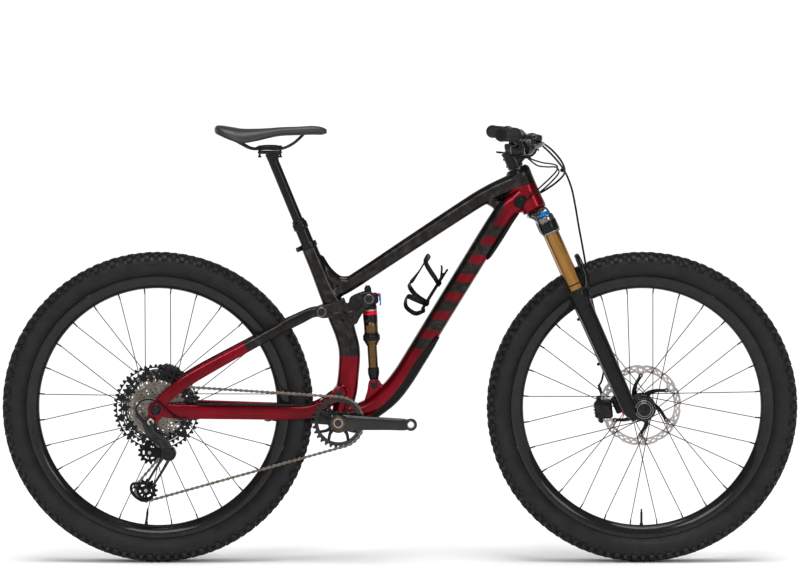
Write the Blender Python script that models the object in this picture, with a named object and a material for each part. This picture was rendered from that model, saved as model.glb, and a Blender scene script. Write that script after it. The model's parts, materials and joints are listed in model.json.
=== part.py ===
"""Full-suspension trail mountain bike, one object for each physical part.

Sizes below are in millimetres and become metres when a mesh is made (MM).
+X points forward, +Y to the rider's left, +Z up, and the tyres stand on Z = 0.
The drive side is -Y. Each moving object has its origin on its joint's axis.
"""
import math

import bmesh
import bpy
from mathutils import Vector

MM = 0.001
GAP = 0.3

# Driving dimensions
TYRE_R = 376.0
TYRE_HALF_W = 33.0
BEAD_R = 317.5
RIM_INNER_R = 287.0
RIM_HALF_W = 17.5
WHEEL_SIDES = 34
SPOKES = 28
SPOKE_R = 1.0
REAR_AXLE = (-585.0, 376.0)
FRONT_AXLE = (585.0, 376.0)
BB = (-148.0, 344.0)
CRANK_LENGTH = 174.0
HEAD_ANGLE = math.radians(66.0)
FORK_OFFSET = 44.0
FORK_TRAVEL = 140.0
LEG_OFFSET = 12.8
LEG_Y = 70.0
STANCHION_R = 18.0
HEAD_TUBE_S = (525.0, 620.0)
BAR_HALF = 390.0
SEAT_POINT = (-214.0, 750.0)
SEAT_LEAN = math.radians(22.4)
POST_R = 15.8
DROPPER_R = 12.5

# Rear suspension pivots in the side view
MAIN_PIVOT = (-146.0, 411.0)
STAY_PIVOT = (-188.5, 608.0)
ROCKER_PIVOT = (-115.5, 594.5)
SHOCK_TOP = (-74.5, 639.5)
SHOCK_FOOT = (-62.0, 430.0)
PIN_R = 4.5
LOOSE_R = 9.3

# Drivetrain
PITCH = 12.7
RING_TEETH = 30
CASSETTE_TEETH = (51, 45, 39, 33, 28, 24, 21, 18, 16, 14, 12, 10)
COG_STEP = 3.6
FIRST_COG_Y = -29.0
CHAIN_COG = 4
CHAIN_Y = FIRST_COG_Y - CHAIN_COG * COG_STEP
RING_Y = -52.0
PULLEY_TEETH = 13
GUIDE = (-602.7, 269.6)
TENSION = (-611.9, 178.0)
CAGE_PIVOT = (-554.5, 270.5)
CHAIN_HALF_H = 4.0
CHAIN_HALF_W = 2.6
CHAIN_CLEAR = 0.8

# Directions: up the steering axis, forward across it, up the seat tube
STEER_UP = Vector((-math.cos(HEAD_ANGLE), 0.0, math.sin(HEAD_ANGLE)))
STEER_FWD = Vector((math.sin(HEAD_ANGLE), 0.0, math.cos(HEAD_ANGLE)))
SEAT_UP = Vector((-math.sin(SEAT_LEAN), 0.0, math.cos(SEAT_LEAN)))
X_AXIS = Vector((1.0, 0.0, 0.0))
Y_AXIS = Vector((0.0, 1.0, 0.0))
Z_AXIS = Vector((0.0, 0.0, 1.0))


def at(point, y=0.0):
    """A side-view point (x, z) as a 3-D point at a given y."""
    return Vector((point[0], y, point[1]))


def steer(s, forward=0.0, y=0.0):
    """A point s up the steering axis, counted from where it is level with the front axle."""
    foot = at(FRONT_AXLE) - X_AXIS * FORK_OFFSET / math.sin(HEAD_ANGLE)
    return foot + STEER_UP * s + STEER_FWD * forward + Y_AXIS * y


def seat(t, y=0.0):
    """A point t along the seat tube axis, counted from the seat clamp."""
    return at(SEAT_POINT, y) + SEAT_UP * t


def shock(d, y=0.0):
    """A point d down the shock from its upper pivot."""
    line = (at(SHOCK_FOOT) - at(SHOCK_TOP)).normalized()
    return at(SHOCK_TOP, y) + line * d


def pitch_radius(teeth):
    return teeth * PITCH / (2 * math.pi)


# ---------------------------------------------------------------- mesh tools

def clear_scene():
    for item in list(bpy.data.objects):
        bpy.data.objects.remove(item, do_unlink=True)


def material(name, colour, roughness, metallic):
    mat = bpy.data.materials.get(name)
    if mat is None:
        mat = bpy.data.materials.new(name)
        mat.use_nodes = True
        shader = mat.node_tree.nodes["Principled BSDF"]
        shader.inputs["Base Color"].default_value = (*colour, 1.0)
        shader.inputs["Roughness"].default_value = roughness
        shader.inputs["Metallic"].default_value = metallic
    return mat


def mesh_object(name, points, faces):
    """A closed mesh from points in millimetres, its faces turned outward."""
    mesh = bpy.data.meshes.new(name)
    mesh.from_pydata([Vector(p) * MM for p in points], [], faces)
    bm = bmesh.new()
    bm.from_mesh(mesh)
    bmesh.ops.recalc_face_normals(bm, faces=bm.faces)
    if bm.calc_volume(signed=True) < 0:
        bmesh.ops.reverse_faces(bm, faces=bm.faces)
    bm.to_mesh(mesh)
    bm.free()
    item = bpy.data.objects.new(name, mesh)
    bpy.context.scene.collection.objects.link(item)
    return item


def skin(name, rings, closed=False):
    """Join rings of equal size; the ends are capped unless the loop is closed."""
    count = len(rings[0])
    points = [p for ring in rings for p in ring]
    faces = []
    for i in range(len(rings) if closed else len(rings) - 1):
        a = i * count
        b = ((i + 1) % len(rings)) * count
        for k in range(count):
            n = (k + 1) % count
            faces.append((a + k, a + n, b + n, b + k))
    if not closed:
        faces.append(tuple(range(count)))
        faces.append(tuple(range(len(points) - count, len(points))))
    return mesh_object(name, points, faces)


def oval(centre, side, up, a, b, count, squareness=2.0):
    """A ring of points on a superellipse with half-widths a and b."""
    ring = []
    for k in range(count):
        t = 2 * math.pi * (k + 0.5) / count
        c, s = math.cos(t), math.sin(t)
        x = a * math.copysign(abs(c) ** (2 / squareness), c)
        z = b * math.copysign(abs(s) ** (2 / squareness), s)
        ring.append(centre + side * x + up * z)
    return ring


def sweep(name, stations, count=12, side=Y_AXIS, squareness=2.0):
    """A tube through stations (point, half-width along side, half-height)."""
    points = [Vector(st[0]) for st in stations]
    rings = []
    for i, (_, a, b) in enumerate(stations):
        ahead = points[min(i + 1, len(points) - 1)]
        behind = points[max(i - 1, 0)]
        along = (ahead - behind).normalized()
        across = (side - along * side.dot(along)).normalized()
        rings.append(oval(points[i], across, across.cross(along), a, b, count, squareness))
    return skin(name, rings)


def rod(name, start, end, r0, r1=None, count=12):
    """A round bar between two points, which may taper."""
    start, end = Vector(start), Vector(end)
    along = (end - start).normalized()
    side = Y_AXIS if abs(along.y) < 0.9 else X_AXIS
    side = (side - along * side.dot(along)).normalized()
    up = side.cross(along)
    r1 = r0 if r1 is None else r1
    return skin(name, [oval(start, side, up, r0, r0, count), oval(end, side, up, r1, r1, count)])


def turned(name, centre, axis, profile, count=16):
    """A solid turned about an axis from a closed profile of (radius, height)."""
    centre, axis = Vector(centre), axis.normalized()
    side = X_AXIS if abs(axis.x) < 0.5 else Y_AXIS
    side = (side - axis * side.dot(axis)).normalized()
    up = side.cross(axis)
    rings = []
    for radius, height in profile:
        rings.append(oval(centre + axis * height, side, up, radius, radius, count))
    return skin(name, rings, closed=True)


def ring_part(name, centre, axis, inner, outer, low, high, count=16):
    """A plain ring between two heights along an axis."""
    return turned(name, centre, axis, [(inner, low), (outer, low), (outer, high), (inner, high)], count)


def plate(name, outline, y0, y1):
    """A flat plate cut to a side-view outline."""
    return skin(name, [[at(p, y0) for p in outline], [at(p, y1) for p in outline]])


def block(name, centre, size, u=X_AXIS, v=Y_AXIS):
    """A box of a given size along u, v and their cross product."""
    w = u.cross(v)
    rings = []
    for k in (-0.5, 0.5):
        corners = ((-0.5, -0.5), (0.5, -0.5), (0.5, 0.5), (-0.5, 0.5))
        mid = Vector(centre) + w * size[2] * k
        rings.append([mid + u * size[0] * i + v * size[1] * j for i, j in corners])
    return skin(name, rings)


def apply_boolean(item, other, operation):
    modifier = item.modifiers.new(operation, "BOOLEAN")
    modifier.operation = operation
    modifier.solver = "EXACT"
    modifier.object = other
    bpy.context.view_layer.update()
    evaluated = item.evaluated_get(bpy.context.evaluated_depsgraph_get())
    mesh = bpy.data.meshes.new_from_object(evaluated)
    item.modifiers.clear()
    item.data = mesh
    bpy.data.objects.remove(other, do_unlink=True)


def join(base, *others):
    for other in others:
        apply_boolean(base, other, "UNION")
    return base


def cut(base, *others):
    for other in others:
        apply_boolean(base, other, "DIFFERENCE")
    return base


def finish(item, name, mat, pivot=None):
    """Name a part, give it its material and put its origin on its pivot."""
    bm = bmesh.new()
    bm.from_mesh(item.data)
    bmesh.ops.remove_doubles(bm, verts=bm.verts, dist=0.00002)
    bmesh.ops.dissolve_degenerate(bm, edges=bm.edges, dist=0.00001)
    bmesh.ops.dissolve_limit(bm, angle_limit=math.radians(0.5), verts=bm.verts, edges=bm.edges)
    bmesh.ops.recalc_face_normals(bm, faces=bm.faces)
    bm.to_mesh(item.data)
    bm.free()
    item.name = name
    item.data.name = name
    item.data.materials.clear()
    item.data.materials.append(mat)
    for poly in item.data.polygons:
        poly.use_smooth = True
        poly.material_index = 0
    item.data.set_sharp_from_angle(angle=math.radians(35))
    if pivot is not None:
        origin = Vector(pivot) * MM
        for vertex in item.data.vertices:
            vertex.co -= origin
        item.location = origin
    return item


def mirrored(stations):
    """The same stations on the rider's left."""
    return [((p[0], -p[1], p[2]), a, b) for p, a, b in stations]


# ------------------------------------------------------------------- finishes

CARBON_GREY = material("smoky_carbon", (0.055, 0.052, 0.047), 0.22, 0.35)
CARBON_RED = material("deep_red", (0.30, 0.008, 0.018), 0.18, 0.30)
BLACK = material("satin_black", (0.018, 0.018, 0.019), 0.45, 0.0)
RIM_BLACK = material("rim_carbon", (0.02, 0.02, 0.021), 0.25, 0.0)
RUBBER = material("rubber", (0.022, 0.022, 0.022), 0.85, 0.0)
GOLD = material("gold_coating", (0.55, 0.32, 0.08), 0.22, 1.0)
STEEL = material("steel", (0.60, 0.60, 0.60), 0.30, 1.0)
CHAIN_STEEL = material("chain_steel", (0.48, 0.42, 0.36), 0.35, 1.0)
DARK_METAL = material("dark_anodised", (0.10, 0.10, 0.105), 0.35, 0.9)
BLUE = material("blue_anodised", (0.02, 0.22, 0.60), 0.30, 0.8)
FOAM = material("saddle_cover", (0.03, 0.03, 0.032), 0.60, 0.0)


# ---------------------------------------------------------------------- frame

def make_frame():
    top = sweep("top", [
        ((-150, 0, 655), 16, 15), ((-126, 0, 671), 17, 17), ((0, 0, 754), 18, 18.5),
        ((144, 0, 849), 20, 19.5), ((205, 0, 886), 22, 20), ((250, 0, 910), 25, 21),
        ((290, 0, 928), 26, 21)], 14, squareness=2.6)
    down = sweep("down", [
        ((292, 0, 884), 26, 24), ((252, 0, 846), 28, 24.5), ((141, 0, 670), 31, 24.5),
        ((35, 0, 496), 31, 24.5), ((5, 0, 448), 32, 25), ((-27, 0, 408), 32, 26),
        ((-75, 0, 371), 32, 24), ((-148, 0, 346), 32, 21)], 14, squareness=2.8)
    seat_tube = sweep("seat_tube", [
        ((-218, 0, 759.7), 18.5, 18.5), ((-197, 0, 709), 18.5, 18.5), ((-172, 0, 648), 19, 20),
        ((-146, 0, 596), 20, 27), ((-131, 0, 552), 21, 25), ((-122, 0, 509), 21, 25.5),
        ((-125, 0, 450), 22, 25), ((-132, 0, 405), 26, 26), ((-146, 0, 350), 30, 20)], 14,
        squareness=2.3)
    gusset = plate("gusset", [
        (-203, 742), (-192, 742), (-181, 712), (-142, 684), (-108, 690), (-130, 655), (-190, 700)],
        -13, 13)
    head = rod("head", steer(HEAD_TUBE_S[0]), steer(HEAD_TUBE_S[1]), 29.0, 30.0, 24)
    shell = rod("shell", at(BB, -46), at(BB, 46), 23, count=24)
    boss = rod("boss", at(MAIN_PIVOT, -34.2), at(MAIN_PIVOT, 34.2), 17, count=20)
    rocker_boss = rod("rocker_boss", at(ROCKER_PIVOT, -32.5), at(ROCKER_PIVOT, 32.5), 15, count=20)
    clevis = [plate("clevis", clevis_outline(), y, y + 8) for y in (-20.5, 12.5)]
    frame = join(down, seat_tube, top, gusset, head, shell, boss, rocker_boss, *clevis)
    cut(frame,
        rod("post_bore", seat(-200), seat(40), POST_R + GAP, count=20),
        rod("head_bore", steer(515), steer(632), 21, count=24),
        rod("shell_bore", at(BB, -60), at(BB, 60), 20.5, count=24),
        rod("pivot_bore", at(MAIN_PIVOT, -50), at(MAIN_PIVOT, 50), 6.3),
        rod("rocker_bore", at(ROCKER_PIVOT, -50), at(ROCKER_PIVOT, 50), 6.3),
        rod("shock_bore", at(SHOCK_FOOT, -30), at(SHOCK_FOOT, 30), PIN_R + GAP))
    finish(frame, "front_frame", CARBON_GREY)


def clevis_outline():
    """A rounded lug that stands on the down tube and holds the shock's foot."""
    x, z = SHOCK_FOOT
    arc = [(x + 14 * math.cos(a), z + 14 * math.sin(a))
           for a in (math.radians(d) for d in range(150, -31, -30))]
    return [(x - 22, z - 44), (x - 15, z - 10)] + arc + [(x + 30, z - 14), (x + 10, z - 44)]


def make_frame_fittings():
    cups = turned("cups", at(BB), Y_AXIS, [
        (12.6, -49), (22.5, -49), (22.5, -46.4), (20.0, -46.4), (20.0, 46.4), (22.5, 46.4),
        (22.5, 49), (12.6, 49)], 20)
    finish(cups, "bottom_bracket", BLACK)

    collar = ring_part("collar", seat(0), SEAT_UP, POST_R + GAP, 21.5, 11.5, 25)
    ear = block("ear", seat(17.2) - SEAT_UP.cross(Y_AXIS) * -26, (14, 15, 12),
                SEAT_UP.cross(Y_AXIS) * -1, Y_AXIS)
    cutter = rod("bore", seat(0), seat(40), POST_R + GAP, count=24)
    finish(cut(join(collar, ear), cutter), "seat_clamp", BLACK)

    outer = turned("outer", seat(0), SEAT_UP, [
        (DROPPER_R + 0.2, -188), (POST_R, -188), (POST_R, 60), (18, 62), (18, 78),
        (15, 84), (DROPPER_R + 0.2, 84)], 20)
    finish(outer, "post_outer", BLACK)

    axle = rod("axle", at(ROCKER_PIVOT, -40.3), at(ROCKER_PIVOT, 40.3), 6.0)
    caps = [rod("cap", at(ROCKER_PIVOT, y - 1.6), at(ROCKER_PIVOT, y + 1.6), 9.5, count=20)
            for y in (-41.9, 41.9)]
    finish(join(axle, *caps), "rocker_axle", DARK_METAL)

    guard = plate("guard", [
        (92, 539), (58, 480), (31, 437), (7, 404), (-14, 385), (-42, 366), (-78, 352),
        (-76, 347.5), (-41, 360), (-11, 379), (13, 400), (36, 433), (66, 480), (95, 531)], -28, 28)
    clearance = sweep("clearance", [
        ((141, 0, 670), 31.3, 24.8), ((35, 0, 496), 31.3, 24.8), ((5, 0, 448), 32.3, 25.3),
        ((-27, 0, 408), 32.3, 26.3), ((-75, 0, 371), 32.3, 24.3), ((-148, 0, 346), 32.3, 21.3)],
        14, squareness=2.8)
    finish(cut(guard, clearance), "down_tube_guard", BLACK)


def make_bottle_cage():
    along = Vector((0.525, 0, 0.851))
    rail = block("rail", (81, 0, 654.5), (128, 12, 5), along, Y_AXIS)
    upper = sweep("upper", [
        ((95, 0, 670), 5, 2.5), ((85, -26, 684), 5, 2.5), ((68, -35, 708), 5, 2.5),
        ((62, -26, 728), 5, 2.5), ((66, -4, 738), 5, 2.5), ((64, 14, 728), 5, 2.5)], 8)
    front = rod("front", (66, 2, 736), (26, 2, 674), 3.4, count=8)
    lower = sweep("lower", [
        ((25, 4, 678), 5, 2.5), ((25, 28, 664), 5, 2.5), ((36, 34, 645), 5, 2.5),
        ((52, 24, 632), 5, 2.5), ((68, 0, 625), 5, 2.5)], 8)
    pocket = sweep("pocket", [
        ((68, 0, 622), 5, 2.5), ((42, -32, 634), 5, 2.5), ((20, -22, 640), 5, 2.5),
        ((15, 0, 620), 5, 2.5), ((26, 22, 606), 5, 2.5), ((44, 14, 600), 5, 2.5),
        ((60, 0, 611), 5, 2.5)], 8)
    finish(join(rail, upper, front, lower, pocket), "bottle_cage", BLACK)


# ----------------------------------------------------------- fork and cockpit

def make_fork():
    crown = sweep("crown", [
        (steer(481, LEG_OFFSET, -LEG_Y - 12), 16, 14), (steer(486, LEG_OFFSET, -54), 19, 14),
        (steer(508, 8, -38), 22, 12), (steer(514, 2, -22), 24, 8.2), (steer(514, 0, 22), 24, 8.2),
        (steer(508, 8, 38), 22, 12), (steer(486, LEG_OFFSET, 54), 19, 14),
        (steer(481, LEG_OFFSET, LEG_Y + 12), 16, 14)], 14, side=STEER_FWD, squareness=2.6)
    steerer = rod("steerer", steer(515), steer(668), 14.3, count=20)
    race = rod("race", steer(518), steer(545), 20.4, 15, count=24)
    legs = [rod("leg", steer(456, LEG_OFFSET, y), steer(503, LEG_OFFSET, y), 22, 21, 20)
            for y in (-LEG_Y, LEG_Y)]
    sockets = [rod("socket", steer(440, LEG_OFFSET, y), steer(495, LEG_OFFSET, y),
                   STANCHION_R + GAP, count=16)
               for y in (-LEG_Y, LEG_Y)]
    finish(cut(join(crown, steerer, race, *legs), *sockets), "fork_crown", BLACK, steer(514))

    for name, y in (("stanchion_right", -LEG_Y), ("stanchion_left", LEG_Y)):
        tube = ring_part(name, steer(0, LEG_OFFSET, y), STEER_UP,
                         STANCHION_R - 2.6, STANCHION_R, 180, 494.6, 16)
        finish(tube, name, GOLD, steer(514))

    dial = rod("dial", steer(503.4, LEG_OFFSET, -LEG_Y), steer(508, LEG_OFFSET, -LEG_Y), 12.5, 12, 16)
    tab = block("tab", steer(509.5, LEG_OFFSET + 3, -LEG_Y), (20, 5, 4.5), STEER_FWD, Y_AXIS)
    finish(join(dial, tab), "fork_dial", BLUE, steer(503, LEG_OFFSET, -LEG_Y))


def make_fork_lowers():
    parts = []
    bores = []
    for sign in (-1, 1):
        y = sign * LEG_Y
        parts.append(sweep("leg", [
            (steer(h, LEG_OFFSET, y), r, r) for h, r in
            ((306, 23), (290, 23), (282, 20.8), (30, 19), (-15, 16), (-18, 8), (-36, 8))], 14))
        parts.append(rod("boss", at(FRONT_AXLE, sign * 55.3), at(FRONT_AXLE, sign * 84), 15, count=16))
        parts.append(block("web", steer(0, 27, sign * 68), (34, 18, 44), STEER_FWD, Y_AXIS))
        bores.append(rod("bore", at(FRONT_AXLE, sign * 50), at(FRONT_AXLE, sign * 90), 7.9))
        bores.append(rod("bore", steer(30, LEG_OFFSET, y), steer(330, LEG_OFFSET, y),
                         STANCHION_R + GAP, count=16))
    arch = sweep("arch", [
        (steer(284, 28, -66), 9, 7), (steer(322, 44, -58), 8, 6), (steer(356, 45, -46), 8, 6),
        (steer(376, 44, -24), 8, 6), (steer(380, 44, 0), 8, 6), (steer(376, 44, 24), 8, 6),
        (steer(356, 45, 46), 8, 6), (steer(322, 44, 58), 8, 6), (steer(284, 28, 66), 9, 7)],
        10, side=STEER_FWD)
    mount = block("mount", steer(2, -8, 67.5), (18, 12, 40), STEER_FWD, Y_AXIS)
    lowers = join(parts[0], *parts[1:], arch, mount)
    cut(lowers, *bores)
    finish(lowers, "fork_lowers", BLACK, steer(0, LEG_OFFSET))

    axle = rod("axle", at(FRONT_AXLE, -84.3), at(FRONT_AXLE, 84.3), 7.5)
    head = rod("head", at(FRONT_AXLE, -88), at(FRONT_AXLE, -84.3), 10.5)
    nut = rod("nut", at(FRONT_AXLE, 84.3), at(FRONT_AXLE, 87), 10.5)
    finish(join(axle, head, nut), "front_axle", DARK_METAL)


def make_cockpit():
    clamp_centre = steer(665, 45)
    body = sweep("stem", [
        (steer(653, 4), 17, 17), (steer(657, 24), 17, 15), (clamp_centre, 20, 15)],
        14, squareness=3)
    column = rod("column", steer(632.5), steer(675), 18.5, count=20)
    clamp = rod("clamp", clamp_centre - Y_AXIS * 25, clamp_centre + Y_AXIS * 25, 22.5, count=24)
    stem = join(body, column, clamp)
    cut(stem, rod("bore", steer(600), steer(668.3), 14.6, count=20),
        rod("bar_bore", clamp_centre - Y_AXIS * 40, clamp_centre + Y_AXIS * 40, 17.8, count=24))
    finish(stem, "stem", BLACK, steer(632))

    right = [
        ((307.4, 0, 1001.8), 17.4, 17.4), ((307.4, -36, 1001.8), 17.4, 17.4),
        ((305, -60, 1007), 15.5, 15.5), ((300, -85, 1020), 12.5, 12.5),
        ((295, -112, 1029), 11, 11), ((288, -160, 1032), 11, 11),
        (bar_point(-255), 11, 11), (bar_point(-BAR_HALF + 2), 11, 11)]
    left = mirrored(right)
    bar = sweep("bar", list(reversed(right)) + left[1:], 14, side=Z_AXIS)
    finish(bar, "handlebar", BLACK, steer(665))

    for name, sign in (("grip_right", -1), ("grip_left", 1)):
        inner, outer = bar_point(sign * 257), bar_point(sign * BAR_HALF)
        along = (outer - inner).normalized()
        length = (outer - inner).length
        grip = turned(name, inner, along, [
            (11.3, 0), (16.5, 0), (16.5, 9), (15, 11), (15.8, length + 1.5), (1, length + 1.5),
            (1, length - 1.2), (11.3, length - 1.2)], 16)
        finish(grip, name, RUBBER, steer(665))


def bar_point(y):
    """A point on the straight outer run of the handlebar."""
    t = (abs(y) - 255) / 135
    return Vector((269 - 36 * t, y, 1035 + 2.5 * t))


def bar_slope(y):
    """The bar's point and direction at the controls, inboard of the grips."""
    t = (abs(y) - 160) / 95
    start, end = Vector((288, math.copysign(160, y), 1032)), bar_point(math.copysign(255, y))
    return start.lerp(end, t), (end - start).normalized()


def make_controls():
    for side, sign in (("right", -1), ("left", 1)):
        centre, along = bar_slope(sign * 206)
        clamp = ring_part("clamp", centre, along, 11.6, 15.5, -6, 6)
        arm = block("arm", centre + Vector((22, 0, -4)), (20, 11, 12))
        cylinder = rod("cylinder", (322, sign * 140, 1022), (316, sign * 222, 1018), 9.5)
        reservoir = block("reservoir", (324, sign * 170, 1027), (24, 46, 15))
        knuckle = rod("knuckle", (325, sign * 226, 1009), (325, sign * 226, 1025), 8)
        body = join(clamp, arm, cylinder, reservoir, knuckle)
        slot = block("slot", (330, sign * 234, 1017), (34, 30, 9))
        cut(body, slot, rod("bore", centre - along * 30, centre + along * 30, 11.6, count=16))
        finish(body, "brake_body_" + side, DARK_METAL, steer(665))

        blade = sweep("blade", [
            ((325, sign * 223, 1017), 6, 3.8), ((333, sign * 240, 1016), 6, 3.8),
            ((329, sign * 275, 1013), 6.5, 3.6), ((318, sign * 310, 1010), 6.5, 3.6),
            ((305, sign * 345, 1008), 6, 4), ((306, sign * 352, 1008), 5, 4)], 10, side=X_AXIS)
        finish(blade, "brake_lever_" + side, DARK_METAL, (325, sign * 226, 1017))

    pods = (("shifter_body", -1, "shift_lever"), ("dropper_remote_body", 1, "dropper_lever"))
    for name, sign, lever in pods:
        centre, along = bar_slope(sign * 234)
        clamp = ring_part("clamp", centre, along, 11.6, 15.5, -6, 6)
        neck = block("neck", centre + Vector((4, sign * 2, -20)), (16, 11, 18))
        inboard = Vector((2, sign * -4, 0))
        pod = rod("pod", centre + inboard - Z_AXIS * 26, centre + inboard - Z_AXIS * 44, 17, 15, 16)
        pod = join(clamp, neck, pod)
        cut(pod, rod("bore", centre - along * 30, centre + along * 30, 11.6, count=16))
        finish(pod, name, DARK_METAL, steer(665))
        pivot = centre + inboard - Z_AXIS * 44.6
        hub = rod("hub", pivot, pivot - Z_AXIS * 5, 9, count=12)
        thumb = sweep("thumb", [
            (pivot + Vector((-3, 0, -3)), 6, 1.8), (pivot + Vector((-20, 0, -3)), 6, 2.2),
            (pivot + Vector((-34, sign * -3, -2)), 8, 2.6)], 8)
        finish(join(hub, thumb), lever, BLACK, pivot)
        if sign < 0:
            pivot = pivot - Z_AXIS * 5.4
            hub = rod("hub", pivot, pivot - Z_AXIS * 3.6, 8, count=14)
            trigger = sweep("trigger", [
                (pivot + Vector((2, 0, -1.8)), 5, 1.6), (pivot + Vector((18, -6, -2)), 5, 1.6),
                (pivot + Vector((27, -14, -2)), 6, 1.8)], 8)
            finish(join(hub, trigger), "release_lever", BLACK, pivot)


def cable(name, route, radius, mat):
    """A hose along a smooth curve through its route's points."""
    points = [Vector(p) for p in route]
    smooth = []
    for i in range(len(points) - 1):
        p0, p1, p2 = points[max(i - 1, 0)], points[i], points[i + 1]
        p3 = points[min(i + 2, len(points) - 1)]
        steps = max(1, round((p2 - p1).length / 25))
        for k in range(steps):
            t = k / steps
            smooth.append(0.5 * (2 * p1 + (p2 - p0) * t + (2 * p0 - 5 * p1 + 4 * p2 - p3) * t * t
                                 + (3 * p1 - p0 - 3 * p2 + p3) * t ** 3))
    smooth.append(points[-1])
    curve = bpy.data.curves.new(name, "CURVE")
    curve.dimensions = "3D"
    curve.bevel_depth = radius * MM
    curve.bevel_resolution = 2
    curve.use_fill_caps = True
    spline = curve.splines.new("POLY")
    spline.points.add(len(smooth) - 1)
    for knot, place in zip(spline.points, smooth):
        knot.co = (*(place * MM), 1.0)
    curve.materials.append(mat)
    item = bpy.data.objects.new(name, curve)
    bpy.context.scene.collection.objects.link(item)


def make_cables():
    cable("hose_rear_brake", [
        (322.5, -138.6, 1022), (334, -122, 1018), (362, -92, 998), (388, -50, 968),
        (396, -6, 942), (380, 26, 920), (350, 42, 898), (326, 44, 886)], 2.5, BLACK)
    cable("hose_front_brake", [
        (322.5, 138.6, 1022), (334, 122, 1016), (366, 88, 988), (396, 52, 950), (414, 36, 908),
        (424, 30, 862), (432, 33, 816), (441, 40, 770), (450, 48, 722), (462, 96, 660),
        (476, 101, 600), (492, 100, 540), (500, 98, 480), (494, 88, 436), (484, 66, 421)],
        2.5, BLACK)
    cable("housing_shift", [
        (290, -208, 991), (306, -186, 976), (326, -146, 962), (350, -96, 958), (374, -50, 956),
        (382, -8, 942), (364, 18, 918), (336, 31, 892), (314, 33, 872)], 2.0, BLACK)
    cable("housing_dropper", [
        (290, 208, 991), (318, 180, 974), (348, 126, 964), (368, 72, 962), (379, 24, 958),
        (377, -14, 948), (360, -34, 930), (336, -42, 908), (314, -40, 886), (301, -34, 874)],
        2.0, BLACK)
    cable("housing_derailleur", [
        (-512, -84, 352), (-530, -86, 355), (-549, -93, 368), (-577, -98, 395), (-601, -100, 403),
        (-621, -99, 396), (-631, -97, 382), (-629, -96.3, 367)], 2.0, BLACK)


# --------------------------------------------------------------------- wheels

def make_wheel(end, axle, hub):
    centre = at(axle)
    tread = [(BEAD_R, 15), (340, TYRE_HALF_W), (361, 31), (TYRE_R, 14)]
    casing = [(367, 12), (341, 29), (BEAD_R, 12)]
    profile = (tread + [(r, -y) for r, y in reversed(tread)]
               + [(r, -y) for r, y in reversed(casing)] + casing)
    finish(turned("tyre", centre, Y_AXIS, profile, WHEEL_SIDES), "tyre_" + end, RUBBER, centre)

    rim = [(BEAD_R - GAP, RIM_HALF_W), (300, 13), (RIM_INNER_R, 3)]
    profile = rim + [(r, -y) for r, y in reversed(rim)]
    finish(turned("rim", centre, Y_AXIS, profile, WHEEL_SIDES), "rim_" + end, RIM_BLACK, centre)

    body = turned("hub", centre, Y_AXIS, hub["profile"], 16)
    lean = math.radians(3 * 360 / (SPOKES / 2))
    for k in range(SPOKES):
        theta = 2 * math.pi * (k + 0.5) / SPOKES + math.pi / 2
        flange_y = hub["flanges"][k % 2]
        way = 1 if (k // 2) % 2 == 0 else -1
        head = theta + way * lean
        out = 1.6 * way
        start = centre + Vector((29 * math.cos(head), flange_y + out, 29 * math.sin(head)))
        tip_r = RIM_INNER_R * math.cos(math.pi / WHEEL_SIDES) - GAP
        tip = centre + Vector((tip_r * math.cos(theta), math.copysign(1.2, flange_y) + out * 0.7,
                               tip_r * math.sin(theta)))
        apply_boolean(body, rod("spoke", start, tip, SPOKE_R, count=3), "UNION")
    finish(body, "hub_" + end, DARK_METAL, centre)

    y, radius = hub["rotor"]
    rotor = ring_part("rotor", centre, Y_AXIS, radius - 16, radius, y - 0.9, y + 0.9, 24)
    inner = ring_part("inner", centre, Y_AXIS, 17.5, 25, y - 1.2, y + 1.2, 16)
    arms = []
    for k in range(6):
        a = math.radians(60 * k + 30)
        radial = Vector((math.cos(a), 0, math.sin(a)))
        arms.append(block("arm", centre + radial * (radius + 8) / 2 + Y_AXIS * y, (radius - 30, 2, 8),
                          radial, Y_AXIS))
    finish(join(rotor, inner, *arms), "rotor_" + end, STEEL, centre)


def make_wheels():
    front = {
        "flanges": (-36, 28), "rotor": (44, 101.5),
        "profile": [(7.8, -55), (10, -55), (13, -42), (32, -38.5), (32, -33.5), (15, -30), (15, 23),
                    (32, 25.5), (32, 30.5), (22, 33), (22, 42.5), (17, 42.5), (17, 48), (10, 55),
                    (7.8, 55)]}
    rear = {
        "flanges": (-21, 33), "rotor": (58, 90),
        "profile": [(6.3, -74), (9, -74), (9, -26), (32, -23.5), (32, -18.5), (17, -15), (17, 28),
                    (32, 30.5), (32, 35.5), (22, 38), (22, 56.5), (17, 56.5), (17, 63), (10, 74),
                    (6.3, 74)]}
    make_wheel("front", FRONT_AXLE, front)
    make_wheel("rear", REAR_AXLE, rear)


def make_caliper(name, axle, angle, rotor_r, y):
    """A brake caliper that straddles its rotor at an angle round the axle."""
    radial = Vector((math.cos(math.radians(angle)), 0, math.sin(math.radians(angle))))
    across = radial.cross(Y_AXIS)

    def place(r, t=0.0, dy=0.0):
        return at(axle) + radial * r + across * t + Y_AXIS * (y + dy)

    body = block("body", place(rotor_r - 12), (42, 33, 50), radial, Y_AXIS)
    banjo = rod("banjo", place(rotor_r - 6, 22, 9), place(rotor_r - 2, 33, 9), 6, count=12)
    slot = block("slot", place(rotor_r - 24), (52, 4.4, 80), radial, Y_AXIS)
    finish(cut(join(body, banjo), slot), name, DARK_METAL)


# ----------------------------------------------------------- rear suspension

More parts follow.
